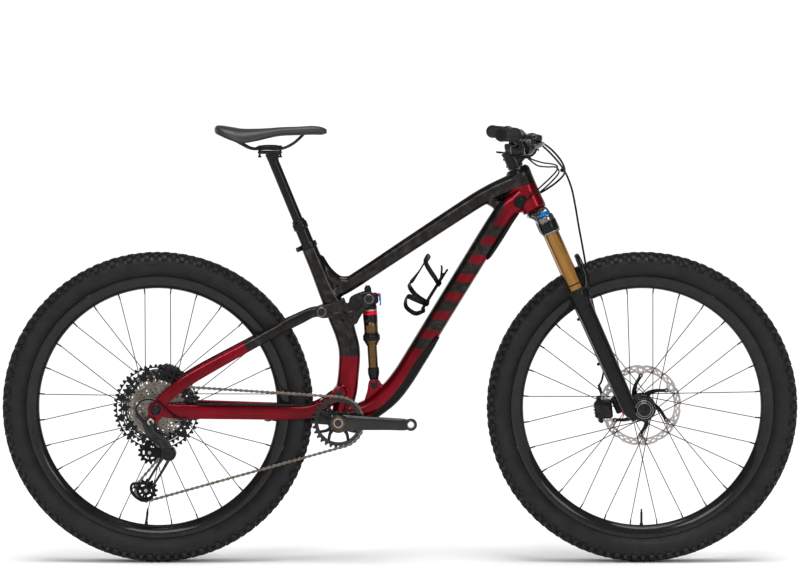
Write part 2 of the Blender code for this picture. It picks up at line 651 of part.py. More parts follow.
def make_chainstay():
    right = [
        ((-575, -77.3, 376), 2.8, 16), ((-545, -77, 372), 3.5, 17), ((-500, -72.5, 370), 6, 17),
        ((-450, -65, 369), 7.5, 17), ((-380, -54, 367.5), 7.5, 17), ((-320, -46.8, 366), 6.6, 17),
        ((-270, -43.2, 365.5), 5.6, 16.5), ((-225, -43, 367), 5.6, 15), ((-190, -43, 380), 5.6, 13.5),
        ((-160, -42, 401), 6, 13), ((-146, -41, 411), 6, 12)]
    parts = []
    for sign, stations in ((-1, right), (1, mirrored(right))):
        parts.append(sweep("arm", stations, 12, squareness=2.6))
        parts.append(rod("lug", at(MAIN_PIVOT, sign * 34.5), at(MAIN_PIVOT, sign * 47), 15, count=20))
        parts.append(rod("pin", at(MAIN_PIVOT, sign * 22), at(MAIN_PIVOT, sign * 47.8), 6))
        parts.append(rod("dropout", at(REAR_AXLE, sign * 74.4), at(REAR_AXLE, sign * 80.2), 20,
                         count=20))
    bridge = sweep("bridge", [
        ((-186, -44, 386), 9, 8), ((-184, 0, 386), 9, 8), ((-186, 44, 386), 9, 8)], 12, side=X_AXIS)
    yoke = join(parts[0], *parts[1:], bridge)
    cut(yoke, rod("axle_bore", at(REAR_AXLE, -90), at(REAR_AXLE, 90), 6.3))
    finish(yoke, "chainstay", CARBON_RED, at(MAIN_PIVOT))


def make_seatstay():
    right = [
        ((-188.5, -27.5, 608), 4.6, 11), ((-212, -27.8, 605), 4.6, 11.5), ((-240, -32.5, 592), 6.5, 12.5),
        ((-290, -45, 568), 7.5, 12.7), ((-356, -53, 532), 7, 12.7), ((-455, -67, 478), 6, 14),
        ((-530, -80.5, 434), 4.2, 14.5), ((-562, -83.3, 407), 2.6, 14), ((-580, -83.3, 382), 2.5, 13)]
    parts = []
    for sign, stations in ((-1, right), (1, mirrored(right))):
        parts.append(sweep("arm", stations, 12, squareness=2.4))
        parts.append(rod("lug", at(STAY_PIVOT, sign * 22.5), at(STAY_PIVOT, sign * 32.4), 14, count=20))
        parts.append(rod("dropout", at(REAR_AXLE, sign * 80.5), at(REAR_AXLE, sign * 86.1), 19,
                         count=20))
    bridge = sweep("bridge", [
        ((-256, -36, 584), 8, 8), ((-254, 0, 583), 8, 7), ((-256, 36, 584), 8, 8)], 12, side=X_AXIS)
    hanger = plate("hanger", [
        (-572, 362), (-590, 340), (-603, 341), (-605, 353), (-597, 372)], -85.8, -80.8)
    mount = block("mount", (-551, 78.4, 438), (34, 5, 34))
    stay = join(parts[0], *parts[1:], bridge, hanger, mount)
    cut(stay, rod("pivot_bore", at(STAY_PIVOT, -60), at(STAY_PIVOT, 60), LOOSE_R),
        rod("axle_bore", at(REAR_AXLE, -90), at(REAR_AXLE, 90), 6.3))
    finish(stay, "seatstay", CARBON_RED, at(REAR_AXLE))

    axle = rod("axle", at(REAR_AXLE, -86.4), at(REAR_AXLE, 86.4), 6.0)
    caps = [rod("cap", at(REAR_AXLE, y - 1.8), at(REAR_AXLE, y + 1.8), 9.5) for y in (-88.2, 88.2)]
    finish(join(axle, *caps), "rear_axle", DARK_METAL)


def make_rocker():
    outline = [
        (-199, 622), (-175, 627), (-147, 636), (-116, 646), (-85, 655), (-69, 653), (-61, 641),
        (-68, 628), (-85, 614), (-99, 590), (-103, 580), (-115, 577), (-127, 583), (-140, 592),
        (-171, 595), (-188, 594), (-200, 601), (-204, 612)]
    parts = [plate("side", outline, y, y + 7.4) for y in (-40.2, 32.8)]
    for y in (-33.5, 23.5):
        parts.append(rod("pin", at(STAY_PIVOT, y), at(STAY_PIVOT, y + 10), PIN_R))
    parts.append(rod("shock_pin", at(SHOCK_TOP, -33.5), at(SHOCK_TOP, 33.5), PIN_R))
    reach = math.radians(58)
    tie = (ROCKER_PIVOT[0] + 28 * math.cos(reach), ROCKER_PIVOT[1] + 28 * math.sin(reach))
    parts.append(rod("tie", at(tie, -33.5), at(tie, 33.5), 5))
    for point in (STAY_PIVOT, SHOCK_TOP):
        for y in (-41.4, 40.0):
            parts.append(rod("cap", at(point, y), at(point, y + 1.4), 8.5))
    rocker = join(parts[0], *parts[1:])
    cut(rocker, rod("bore", at(ROCKER_PIVOT, -60), at(ROCKER_PIVOT, 60), 6.3))
    finish(rocker, "rocker", CARBON_GREY, at(ROCKER_PIVOT))


def make_shock():
    line = (at(SHOCK_FOOT) - at(SHOCK_TOP)).normalized()
    across = Y_AXIS.cross(line)
    eye = rod("eye", at(SHOCK_TOP, -12), at(SHOCK_TOP, 12), 14, count=20)
    cap = block("cap", shock(-16) - across * 2, (16, 22, 22), across, Y_AXIS)
    housing = block("housing", shock(1) - across * 13, (20, 24, 26), across, Y_AXIS)
    body = turned("body", shock(0), line, [
        (1, 10), (12, 10), (17, 26), (17, 92), (20.5, 95), (20.5, 110), (14.5, 118),
        (12.3, 118), (12.3, 52), (1, 52)])
    core = rod("core", shock(8), shock(46), 8)
    can = join(body, core, eye, cap, housing)
    cut(can, rod("bore", at(SHOCK_TOP, -20), at(SHOCK_TOP, 20), LOOSE_R))
    finish(can, "shock_can", BLACK, at(SHOCK_TOP))

    shaft = rod("shaft", shock(106), shock(182), 11.9, count=20)
    yoke = rod("yoke", shock(177), shock(202), 13, 11, 20)
    foot = rod("foot", at(SHOCK_FOOT, -11.8), at(SHOCK_FOOT, 11.8), 12, count=20)
    bolt = rod("bolt", at(SHOCK_FOOT, -20.9), at(SHOCK_FOOT, 20.9), PIN_R)
    caps = [rod("cap", at(SHOCK_FOOT, y - 1.2), at(SHOCK_FOOT, y + 1.2), 8) for y in (-22.1, 22.1)]
    lower = join(shaft, yoke, foot, bolt, *caps)
    finish(lower, "shock_shaft", GOLD, at(SHOCK_FOOT))

    pivot = shock(2) - across * 23.3
    lever = rod("lever", pivot, pivot - across * 5, 6)
    arm = block("arm", pivot - across * 3.5 + line * 3, (3, 7, 30), across, Y_AXIS)
    finish(join(lever, arm), "shock_lever", BLUE, pivot)


# ------------------------------------------------------------------ drivetrain

def make_crank():
    start, end = at(BB), at(BB) + Vector((CRANK_LENGTH, 0, -3.5))
    spindle = rod("spindle", at(BB, -72), at(BB, 62), 12, count=20)
    boss = rod("boss", at(BB, -82), at(BB, -60), 21, count=24)
    spline = rod("spline", at(BB, -61), at(BB, -50.2), 15, count=20)
    arm = sweep("arm", [
        (start + Vector((0, -71, 0)), 8, 18), (start + Vector((40, -73, 0)), 7.5, 17),
        (start + Vector((110, -78, -2)), 7, 15.5), (end + Vector((0, -81, 0)), 6.5, 14.5)],
        12, squareness=3.2)
    tip = rod("tip", end + Vector((0, -87.5, 0)), end + Vector((0, -74.5, 0)), 15, count=20)
    crank = join(spindle, boss, spline, arm, tip)
    cut(crank, rod("eye", end + Vector((0, -95, 0)), end + Vector((0, -60, 0)), 7.1),
        rod("hollow", at(BB, -90), at(BB, -74), 9))
    finish(crank, "crank_right", DARK_METAL, at(BB))

    end = at(BB) - Vector((CRANK_LENGTH, 0, -3.5))
    boss = rod("boss", at(BB, 62.3), at(BB, 82), 19, count=24)
    arm = sweep("arm", [
        (start + Vector((0, 72, 0)), 8, 18), (start + Vector((-40, 74, 0)), 7.5, 17),
        (start + Vector((-110, 79, 2)), 7, 15.5), (end + Vector((0, 82, 0)), 6.5, 14.5)],
        12, squareness=3.2)
    tip = rod("tip", end + Vector((0, 75.5, 0)), end + Vector((0, 88.5, 0)), 15, count=20)
    crank = join(boss, arm, tip)
    cut(crank, rod("eye", end + Vector((0, 60, 0)), end + Vector((0, 95, 0)), 7.1))
    finish(crank, "crank_left", DARK_METAL, at(BB))

    outer = pitch_radius(RING_TEETH) - CHAIN_HALF_H - CHAIN_CLEAR
    ring = ring_part("ring", at(BB), Y_AXIS, outer - 9, outer, RING_Y - 1.5, RING_Y + 1.5, 24)
    hub = ring_part("hub", at(BB), Y_AXIS, 15.3, 24, RING_Y - 6, RING_Y + 1.5, 20)
    arms = []
    for k in range(4):
        a = math.radians(90 * k + 45)
        radial = Vector((math.cos(a), 0, math.sin(a)))
        arms.append(block("arm", at(BB, RING_Y) + radial * 36, (30, 2.6, 13), radial, Y_AXIS))
    finish(join(ring, hub, *arms), "chainring", DARK_METAL, at(BB))


def make_cassette():
    profile = [(10, FIRST_COG_Y + 1.5)]
    edge = FIRST_COG_Y + 1.5
    for k, teeth in enumerate(CASSETTE_TEETH):
        radius = pitch_radius(teeth) - CHAIN_HALF_H - CHAIN_CLEAR
        profile.append((radius, edge))
        edge = FIRST_COG_Y - (k + 1) * COG_STEP + CHAIN_HALF_W + GAP
        profile.append((radius, edge))
    profile += [(13, edge), (13, edge - 2), (10, edge - 2)]
    finish(turned("cassette", at(REAR_AXLE), Y_AXIS, profile), "cassette", STEEL, at(REAR_AXLE))


def chain_path():
    """The chain's centre line: (point, outward direction) round the four wheels."""
    wheels = [(BB, pitch_radius(RING_TEETH), RING_Y, 1),
              (REAR_AXLE, pitch_radius(CASSETTE_TEETH[CHAIN_COG]), CHAIN_Y, 1),
              (GUIDE, pitch_radius(PULLEY_TEETH), CHAIN_Y, -1),
              (TENSION, pitch_radius(PULLEY_TEETH), CHAIN_Y, 1)]
    angles = []
    for i, (centre, radius, _, way) in enumerate(wheels):
        other, other_r, _, other_way = wheels[(i + 1) % 4]
        dx, dz = other[0] - centre[0], other[1] - centre[1]
        k = other_way * other_r - way * radius
        angles.append(math.atan2(dz, dx) + math.asin(-k / math.hypot(dx, dz)))
    stations = []
    for i, (centre, radius, y, way) in enumerate(wheels):
        begin, end = angles[i - 1], angles[i]
        turn = ((end - begin) * way) % (2 * math.pi)
        steps = max(3, round(turn / math.radians(13)))
        for k in range(steps + 1):
            heading = begin + way * turn * k / steps
            out = Vector((math.sin(heading), 0, -math.cos(heading)))
            stations.append((at(centre, y) + out * way * radius, out))
    return stations


def make_chain():
    rings = []
    for point, out in chain_path():
        corners = ((-1, -1), (1, -1), (1, 1), (-1, 1))
        rings.append([point + out * CHAIN_HALF_H * i + Y_AXIS * CHAIN_HALF_W * j for i, j in corners])
    finish(skin("chain", rings, closed=True), "chain", CHAIN_STEEL)


def make_derailleur():
    hanger = Vector((-596.5, 0, 348.5))
    bolt = rod("bolt", hanger + Vector((0, -97, 0)), hanger + Vector((0, -86.5, 0)), 9.5)
    link = sweep("link", [
        (hanger + Vector((-12, -93, 2)), 5, 12), (hanger + Vector((-2, -92.5, -26)), 5.5, 14),
        (at(CAGE_PIVOT, -82) + Vector((-10, 0, 24)), 7, 14), (at(CAGE_PIVOT, -76), 8, 12)],
        10, squareness=3)
    stop = rod("stop", (-628, -96, 365.3), (-612, -92, 346), 4.5, count=10)
    clutch = rod("clutch", at(CAGE_PIVOT, -88), at(CAGE_PIVOT, -58), 18, count=20)
    body = join(link, bolt, stop, clutch)
    cut(body, rod("bore", at(CAGE_PIVOT, -72), at(CAGE_PIVOT, -50), 6.4))
    finish(body, "derailleur_body", DARK_METAL)

    outline = cage_outline()
    plates = [plate("plate", outline, y - 0.8, y + 0.8) for y in (CHAIN_Y - 5.4, CHAIN_Y + 5.4)]
    shaft = rod("shaft", at(CAGE_PIVOT, -71.5), at(CAGE_PIVOT, CHAIN_Y - 5.4), 6)
    pins = [rod("pin", at(p, CHAIN_Y - 6.4), at(p, CHAIN_Y + 6.4), 3) for p in (GUIDE, TENSION)]
    finish(join(plates[0], plates[1], shaft, *pins), "derailleur_cage", DARK_METAL, at(CAGE_PIVOT))

    for name, centre in (("guide_pulley", GUIDE), ("tension_pulley", TENSION)):
        radius = pitch_radius(PULLEY_TEETH) - CHAIN_HALF_H - CHAIN_CLEAR
        wheel = ring_part(name, at(centre), Y_AXIS, 3.3, radius, CHAIN_Y - 2.2, CHAIN_Y + 2.2, 18)
        finish(wheel, name, BLACK, at(centre))


def cage_outline():
    """The cage plate: an arm from its pivot to round both pulleys' bolts."""
    def arc(centre, radius, first, last, step):
        turns = [math.radians(d) for d in range(first, last + 1, step)]
        return [(centre[0] + radius * math.cos(a), centre[1] + radius * math.sin(a)) for a in turns]
    return (arc(CAGE_PIVOT, 13, -60, 90, 30) + arc(GUIDE, 8, 90, 210, 40)
            + arc(TENSION, 18, 150, 330, 30))


# --------------------------------------------------------------- saddle, post

def make_saddle():
    inner = rod("inner", seat(-30), seat(246), DROPPER_R, count=20)
    head = sweep("head", [
        (seat(239), 12, 13), (seat(248) + X_AXIS * 2, 13, 15), (seat(261) + X_AXIS * 5, 13, 17)], 12)
    cradle = block("cradle", (-313, 0, 992.5), (62, 56, 7))
    finish(join(inner, head, cradle), "post_inner", BLACK, seat(0))
    wire = 3.5
    run = [(-398, -38, 1017), (-380, -30, 1009.5), (-356, -22, 1000.2), (-320, -22, 1000.2),
           (-284, -22, 1000.6), (-258, -20, 1012), (-236, -14, 1026), (-226, -5, 1029)]
    half = [(point, wire, wire) for point in run]
    rails = sweep("rails", half + mirrored(list(reversed(half))), 8, side=Z_AXIS)
    finish(rails, "saddle_rails", DARK_METAL, seat(0))
    shell = sweep("saddle", [
        ((-443, 0, 1043), 34, 5), ((-425, 0, 1044), 62, 9), ((-390, 0, 1040), 71, 14.5),
        ((-350, 0, 1037), 62, 15.5), ((-300, 0, 1041.5), 42, 11.5), ((-245, 0, 1045), 27, 9.5),
        ((-200, 0, 1045), 22, 9.5), ((-180, 0, 1041), 15, 6)], 16)
    finish(shell, "saddle", FOAM, seat(0))


def main():
    clear_scene()
    make_frame()
    make_frame_fittings()
    make_bottle_cage()
    make_fork()
    make_fork_lowers()
    make_cockpit()
    make_controls()
    make_cables()
    make_wheels()
    make_caliper("caliper_front", FRONT_AXLE, 186, 101.5, 44)
    make_caliper("caliper_rear", REAR_AXLE, 72, 90, 58)
    make_chainstay()
    make_seatstay()
    make_rocker()
    make_shock()
    make_crank()
    make_cassette()
    make_chain()
    make_derailleur()
    make_saddle()


main()
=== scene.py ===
import json
import math

import bmesh
import bpy
import numpy as np
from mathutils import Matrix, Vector


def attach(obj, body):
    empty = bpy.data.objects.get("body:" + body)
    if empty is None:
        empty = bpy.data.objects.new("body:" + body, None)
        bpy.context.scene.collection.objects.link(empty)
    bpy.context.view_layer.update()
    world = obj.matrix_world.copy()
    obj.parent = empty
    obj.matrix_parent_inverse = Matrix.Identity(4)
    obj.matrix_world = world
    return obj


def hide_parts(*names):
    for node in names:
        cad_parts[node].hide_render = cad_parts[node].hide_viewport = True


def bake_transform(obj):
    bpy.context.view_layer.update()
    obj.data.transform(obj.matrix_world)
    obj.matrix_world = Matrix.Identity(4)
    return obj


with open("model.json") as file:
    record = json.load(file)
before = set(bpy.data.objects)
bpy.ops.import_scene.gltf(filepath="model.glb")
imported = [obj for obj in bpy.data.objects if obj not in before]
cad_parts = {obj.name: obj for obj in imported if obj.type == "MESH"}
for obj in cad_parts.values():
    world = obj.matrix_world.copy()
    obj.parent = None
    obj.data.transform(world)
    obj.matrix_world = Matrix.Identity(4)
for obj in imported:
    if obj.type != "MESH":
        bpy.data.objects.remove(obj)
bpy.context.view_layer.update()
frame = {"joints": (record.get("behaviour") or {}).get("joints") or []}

# Shapes below are in millimetres in the frame's own axes: +X forward, +Y to the
# rider's left, +Z up. They become metres when a mesh is made.
MM = 0.001
JOINTS = {joint["name"]: joint for joint in frame["joints"]}
X_AXIS = Vector((1.0, 0.0, 0.0))
Y_AXIS = Vector((0.0, 1.0, 0.0))
Z_AXIS = Vector((0.0, 0.0, 1.0))


def joint_point(name):
    return Vector(JOINTS[name]["pos_m"]) / MM


REAR_AXLE = joint_point("rear_wheel_spin")
FRONT_AXLE = joint_point("front_wheel_spin")
BB = joint_point("crank_spin")
MAIN_PIVOT = joint_point("swingarm_pivot")
ROCKER_PIVOT = joint_point("rocker_pivot")
SHOCK_FOOT = joint_point("shock_pivot")
GUIDE = joint_point("guide_pulley_spin")
TENSION = joint_point("tension_pulley_spin")
CAGE_PIVOT = joint_point("cage_swing")
STEER_UP = Vector(JOINTS["steer"]["axis"])
STEER_FWD = Vector((STEER_UP.z, 0.0, -STEER_UP.x))
SEAT_UP = Vector(JOINTS["dropper_post"]["axis"])
SHOCK_DOWN = Vector(JOINTS["shock_stroke"]["axis"])
SHOCK_FWD = Vector((-SHOCK_DOWN.z, 0.0, SHOCK_DOWN.x))

STAY_PIVOT = Vector((-188.5, 0.0, 608.0))
SHOCK_TOP = Vector((-74.5, 0.0, 639.5))
SEAT_POINT = Vector((-214.0, 0.0, 750.0))
FORK_OFFSET = 44.0
LEG_OFFSET = 12.8
LEG_Y = 70.0
BEAD_R = 317.2
RIM_INNER_R = 287.0
SPOKES = 28
PITCH = 12.7
RING_TEETH = 30
CASSETTE_TEETH = (51, 45, 39, 33, 28, 24, 21, 18, 16, 14, 12, 10)
COG_STEP = 3.6
FIRST_COG_Y = -29.0
CHAIN_COG = 4
CHAIN_Y = FIRST_COG_Y - CHAIN_COG * COG_STEP
RING_Y = -52.0
PULLEY_TEETH = 13
CRANK_LENGTH = 174.0


def steer(s, forward=0.0, y=0.0):
    """A point s up the steering axis, counted from where it is level with the front axle."""
    foot = FRONT_AXLE - X_AXIS * FORK_OFFSET / STEER_UP.z
    return foot + STEER_UP * s + STEER_FWD * forward + Y_AXIS * y


def seat(t, forward=0.0):
    """A point t along the seat tube's axis from its clamp."""
    return SEAT_POINT + SEAT_UP * t + Vector((SEAT_UP.z, 0, -SEAT_UP.x)) * forward


def shock(d, forward=0.0):
    """A point d down the shock from its upper pivot."""
    return SHOCK_TOP + SHOCK_DOWN * d + SHOCK_FWD * forward


def side(x, z, y=0.0):
    return Vector((x, y, z))


def polar(centre, radius, degrees, y=0.0):
    """A point round an axle, in the side view."""
    turn = math.radians(degrees)
    return centre + Vector((radius * math.cos(turn), y, radius * math.sin(turn)))


# ------------------------------------------------------------------- shapes
# A shape is (points, faces); merge() puts several into one.

def merge(*shapes):
    points, faces = [], []
    for some_points, some_faces in shapes:
        start = len(points)
        points += list(some_points)
        faces += [tuple(i + start for i in face) for face in some_faces]
    return points, faces


def skin(rings, closed=False):
    """Quads between rings of equal size; the ends are capped unless closed."""
    count = len(rings[0])
    points = [p for ring in rings for p in ring]
    faces = []
    for i in range(len(rings) if closed else len(rings) - 1):
        a = i * count
        b = ((i + 1) % len(rings)) * count
        for k in range(count):
            n = (k + 1) % count
            faces.append((a + k, a + n, b + n, b + k))
    if not closed:
        faces.append(tuple(range(count)))
        faces.append(tuple(range(len(points) - count, len(points))))
    return points, faces


def oval(centre, across, up, a, b, count, squareness=2.0):
    """A ring on a superellipse with half-widths a and b."""
    ring = []
    for k in range(count):
        t = 2 * math.pi * (k + 0.5) / count
        c, s = math.cos(t), math.sin(t)
        x = a * math.copysign(abs(c) ** (2 / squareness), c)
        z = b * math.copysign(abs(s) ** (2 / squareness), s)
        ring.append(centre + across * x + up * z)
    return ring


def spline(p0, p1, p2, p3, t):
    """The Catmull-Rom point a share t of the way from p1 to p2."""
    return 0.5 * (2 * p1 + (p2 - p0) * t + (2 * p0 - 5 * p1 + 4 * p2 - p3) * t * t
        + (3 * p1 - p0 - 3 * p2 + p3) * t ** 3)


def smooth_rows(rows, steps):
    """Catmull-Rom through rows of numbers, steps to each span."""
    rows = [np.array(row, float) for row in rows]
    out = []
    for i in range(len(rows) - 1):
        p0, p1, p2 = rows[max(i - 1, 0)], rows[i], rows[i + 1]
        p3 = rows[min(i + 2, len(rows) - 1)]
        for k in range(steps):
            t = k / steps
            out.append(spline(p0, p1, p2, p3, t))
    out.append(rows[-1])
    return out


def loft(stations, count=28, across=Y_AXIS, squareness=2.0, steps=6):
    """A smooth tube through stations (point, half-width along across, half-height)."""
    rows = smooth_rows([(*Vector(p), a, b) for p, a, b in stations], steps)
    points = [Vector(row[:3]) for row in rows]
    rings = []
    for i, row in enumerate(rows):
        along = (points[min(i + 1, len(rows) - 1)] - points[max(i - 1, 0)]).normalized()
        side_way = (across - along * across.dot(along)).normalized()
        rings.append(oval(points[i], side_way, side_way.cross(along), row[3], row[4], count, squareness))
    return skin(rings)


def pipe(route, radius, sides=12, steps=8, across=Y_AXIS):
    """A round tube along a smooth curve, turned without twist."""
    points = [Vector(row) for row in smooth_rows(route, steps)]
    along = (points[1] - points[0]).normalized()
    up = across.cross(along)
    up = up.normalized() if up.length > 0.1 else X_AXIS.cross(along).normalized()
    rings = []
    for i, point in enumerate(points):
        along = (points[min(i + 1, len(points) - 1)] - points[max(i - 1, 0)]).normalized()
        up = (up - along * up.dot(along)).normalized()
        rings.append(oval(point, up.cross(along), up, radius, radius, sides))
    return skin(rings)


def rod(start, end, r0, r1=None, sides=24):
    """A round bar with small chamfers at its ends."""
    start, end = Vector(start), Vector(end)
    length = (end - start).length
    along = (end - start) / length
    r1 = r0 if r1 is None else r1
    edge = min(0.6, r0 * 0.2, length * 0.3)
    return lathe(start, along, [(r0 - edge, 0), (r0, edge), (r1, length - edge), (r1 - edge, length)],
        sides, solid=True)


def axes_round(axis):
    """Two directions square to an axis and to each other."""
    across = X_AXIS if abs(axis.x) < 0.6 else Y_AXIS
    across = (across - axis * across.dot(axis)).normalized()
    return across, across.cross(axis)


def lathe(centre, axis, profile, sides=48, solid=False):
    """A turned shape from (radius, height) points: a loop, or a solid with flat ends."""
    centre, axis = Vector(centre), Vector(axis).normalized()
    across, up = axes_round(axis)
    rings = [oval(centre + axis * h, across, up, r, r, sides) for r, h in profile]
    return skin(rings, closed=not solid)


def ring_of(centre, axis, inner, outer, low, high, sides=48, edge=0.5):
    """A plain ring with chamfered edges."""
    return lathe(centre, axis, [(inner, low), (outer - edge, low), (outer, low + edge),
        (outer, high - edge), (outer - edge, high), (inner, high)], sides)


def chamfered(a, b, c):
    """The outline of a rectangle with half-widths a and b, its corners cut by c."""
    return ((-a + c, -b), (a - c, -b), (a, -b + c), (a, b - c), (a - c, b), (-a + c, b), (-a, b - c),
        (-a, -b + c))


def box(centre, size, u=X_AXIS, v=Y_AXIS, edge=1.0):
    """A block with chamfered edges, of a size along u, v and their cross product."""
    w = Vector(u).cross(Vector(v))
    half = [s / 2 for s in size]
    edge = min(edge, min(half) * 0.6)
    rings = []
    for z, inset in ((-half[2], edge), (-half[2] + edge, 0), (half[2] - edge, 0), (half[2], edge)):
        outline = chamfered(half[0] - inset, half[1] - inset, edge)
        rings.append([Vector(centre) + u * i + v * j + w * z for i, j in outline])
    return skin(rings)


def slab(outline, y0, y1, edge=0.8):
    """A flat plate with a side-view outline and chamfered rims."""
    mid = sum((Vector(p) for p in outline), Vector((0, 0))) / len(outline)
    inner = [Vector(p) + (mid - Vector(p)).normalized() * edge for p in outline]
    rows = ((inner, y0), (outline, y0 + edge), (outline, y1 - edge), (inner, y1))
    return skin([[side(p[0], p[1], y) for p in line] for line, y in rows])


def round_outline(points, steps=5):
    """A smooth closed side-view outline through a few points."""
    n = len(points)
    out = []
    for i in range(n):
        p0, p1, p2, p3 = (np.array(points[(i + k - 1) % n], float) for k in range(4))
        for k in range(steps):
            t = k / steps
            out.append(Vector(spline(p0, p1, p2, p3, t)))
    return out


def polar_plate(centre, y, thick, inner, outer, steps, rows=1, hole=None, shelf=None):
    """A plate between two radii, each a function of the turn; hole(turn, share) leaves a window.

    With a shelf, every row but the last stops at that radius, so teeth only shape the rim.
    """
    points, faces = [], []
    for level in (-0.5, 0.5):
        for i in range(steps):
            turn = 2 * math.pi * i / steps
            ray = X_AXIS * math.cos(turn) + Z_AXIS * math.sin(turn)
            r0, r1 = inner(turn), outer(turn)
            for j in range(rows + 1):
                radius = r0 + (r1 - r0) * j / rows
                if shelf is not None and j < rows:
                    radius = r0 + (shelf - r0) * j / (rows - 1)
                points.append(centre + ray * radius + Y_AXIS * (y + level * thick))
    width = rows + 1
    far = steps * width
    open_cells = set()
    for i in range(steps):
        for j in range(rows):
            share = (j + 0.5) / rows
            if hole and hole(2 * math.pi * (i + 0.5) / steps, share):
                open_cells.add((i, j))
    for i in range(steps):
        n = (i + 1) % steps
        for j in range(rows):
            if (i, j) in open_cells:
                continue
            a, b, c, d = i * width + j, i * width + j + 1, n * width + j + 1, n * width + j
            faces.append((a, b, c, d))
            faces.append((a + far, d + far, c + far, b + far))
            if j == 0 or (i, j - 1) in open_cells:
                faces.append((a, d, d + far, a + far))
            if j == rows - 1 or (i, j + 1) in open_cells:
                faces.append((b, b + far, c + far, c))
            if ((i - 1) % steps, j) in open_cells:
                faces.append((a, a + far, b + far, b))
            if (n, j) in open_cells:
                faces.append((d, c, c + far, d + far))
    return points, faces


def bolt(centre, axis, radius=4.0, height=2.0):
    """A cap screw: a chamfered head with a hexagonal socket."""
    centre, axis = Vector(centre), Vector(axis).normalized()
    across, up = axes_round(axis)
    rings = [oval(centre + axis * height * level, across, up, radius * share, radius * share, 24)
        for level, share in ((0, 1), (0.7, 1), (1, 0.86))]
    for depth in (height, height * 0.2):
        ring = []
        for k in range(24):
            turn = 2 * math.pi * (k + 0.5) / 24
            wrap = (turn % (math.pi / 3)) - math.pi / 6
            r = radius * 0.5 * math.cos(math.pi / 6) / math.cos(wrap)
            ring.append(centre + axis * depth + across * r * math.cos(turn) + up * r * math.sin(turn))
        rings.append(ring)
    return skin(rings)


def mirror(shape):
    """The same shape on the rider's left."""
    points, faces = shape
    return [Vector((p[0], -p[1], p[2])) for p in points], [tuple(reversed(f)) for f in faces]


def both(shape):
    return merge(shape, mirror(shape))


def mesh_of(name, shape):
    points, faces = shape
    mesh = bpy.data.meshes.new(name)
    mesh.from_pydata([tuple(c * MM for c in p) for p in points], [], faces)
    bm = bmesh.new()
    bm.from_mesh(mesh)
    bmesh.ops.remove_doubles(bm, verts=bm.verts, dist=1e-7)
    bmesh.ops.recalc_face_normals(bm, faces=bm.faces)
    bm.to_mesh(mesh)
    bm.free()
    return mesh


def fused(name, shapes, voxel, smooth=6):
    """One organic skin round several overlapping closed shapes."""
    item = bpy.data.objects.new(name, mesh_of(name, merge(*shapes)))
    bpy.context.scene.collection.objects.link(item)
    remesh = item.modifiers.new("skin", "REMESH")
    remesh.mode = "VOXEL"
    remesh.voxel_size = voxel * MM
    soften = item.modifiers.new("soften", "SMOOTH")
    soften.factor = 0.5
    soften.iterations = smooth
    bpy.context.view_layer.update()
    evaluated = item.evaluated_get(bpy.context.evaluated_depsgraph_get())
    mesh = bpy.data.meshes.new_from_object(evaluated)
    bpy.data.objects.remove(item)
    mesh.name = name
    return mesh


def piece(name, shape, mat, body, *nodes, slot=None, subdivide=0, angle=38):
    """A visible piece: its mesh, finish, body, and the CAD nodes that it stands for."""
    mesh = shape if isinstance(shape, bpy.types.Mesh) else mesh_of(name, shape)
    item = bpy.data.objects.new(name, mesh)
    bpy.context.scene.collection.objects.link(item)
    mesh.materials.clear()
    mesh.materials.append(mat)
    mesh.polygons.foreach_set("use_smooth", [True] * len(mesh.polygons))
    if subdivide:
        modifier = item.modifiers.new("subdivide", "SUBSURF")
        modifier.levels = subdivide
        modifier.render_levels = subdivide
    else:
        mesh.set_sharp_from_angle(angle=math.radians(angle))
    if body is not None:
        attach(item, body)
    if nodes:
        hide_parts(*nodes)
    return item


# ------------------------------------------------------------------- finishes


def new_material(name):
    mat = bpy.data.materials.new(name)
    mat.use_nodes = True
    return mat, mat.node_tree.nodes, mat.node_tree.links


def noise(nodes, links, scale, detail=4.0, stretch=None, distortion=0.0):
    """A noise texture laid on the piece's own coordinates; scale is in cells per metre."""
    place = nodes.new("ShaderNodeTexCoord")
    texture = nodes.new("ShaderNodeTexNoise")
    texture.inputs["Scale"].default_value = scale
    texture.inputs["Detail"].default_value = detail
    texture.inputs["Distortion"].default_value = distortion
    source = place.outputs["Object"]
    if stretch:
        mapping = nodes.new("ShaderNodeMapping")
        mapping.inputs["Scale"].default_value = stretch
        links.new(source, mapping.inputs["Vector"])
        source = mapping.outputs["Vector"]
    links.new(source, texture.inputs["Vector"])
    return texture


def ramp(nodes, links, source, stops):
    """A colour ramp on a value; stops are (place, grey or colour)."""
    node = nodes.new("ShaderNodeValToRGB")
    while len(node.color_ramp.elements) < len(stops):
        node.color_ramp.elements.new(0.5)
    for element, (place, value) in zip(node.color_ramp.elements, stops):
        element.position = place
        colour = (value,) * 3 if isinstance(value, (int, float)) else value
        element.color = (*colour, 1.0)
    links.new(source, node.inputs["Fac"])
    return node.outputs["Color"]


def mix(nodes, links, factor, a, b):
    """Mix two colours, each a socket or a constant."""
    node = nodes.new("ShaderNodeMix")
    node.data_type = "RGBA"
    sockets = [s for s in node.inputs if s.type == "RGBA"]
    for value, socket in ((a, sockets[0]), (b, sockets[1])):
        if isinstance(value, tuple):
            socket.default_value = (*value, 1.0)
        else:
            links.new(value, socket)
    if isinstance(factor, float):
        node.inputs["Factor"].default_value = factor
    else:
        links.new(factor, node.inputs["Factor"])
    return next(s for s in node.outputs if s.type == "RGBA")


def bump(nodes, links, height, distance, strength=1.0):
    node = nodes.new("ShaderNodeBump")
    node.inputs["Distance"].default_value = distance * MM
    node.inputs["Strength"].default_value = strength
    links.new(height, node.inputs["Height"])
    return node.outputs["Normal"]


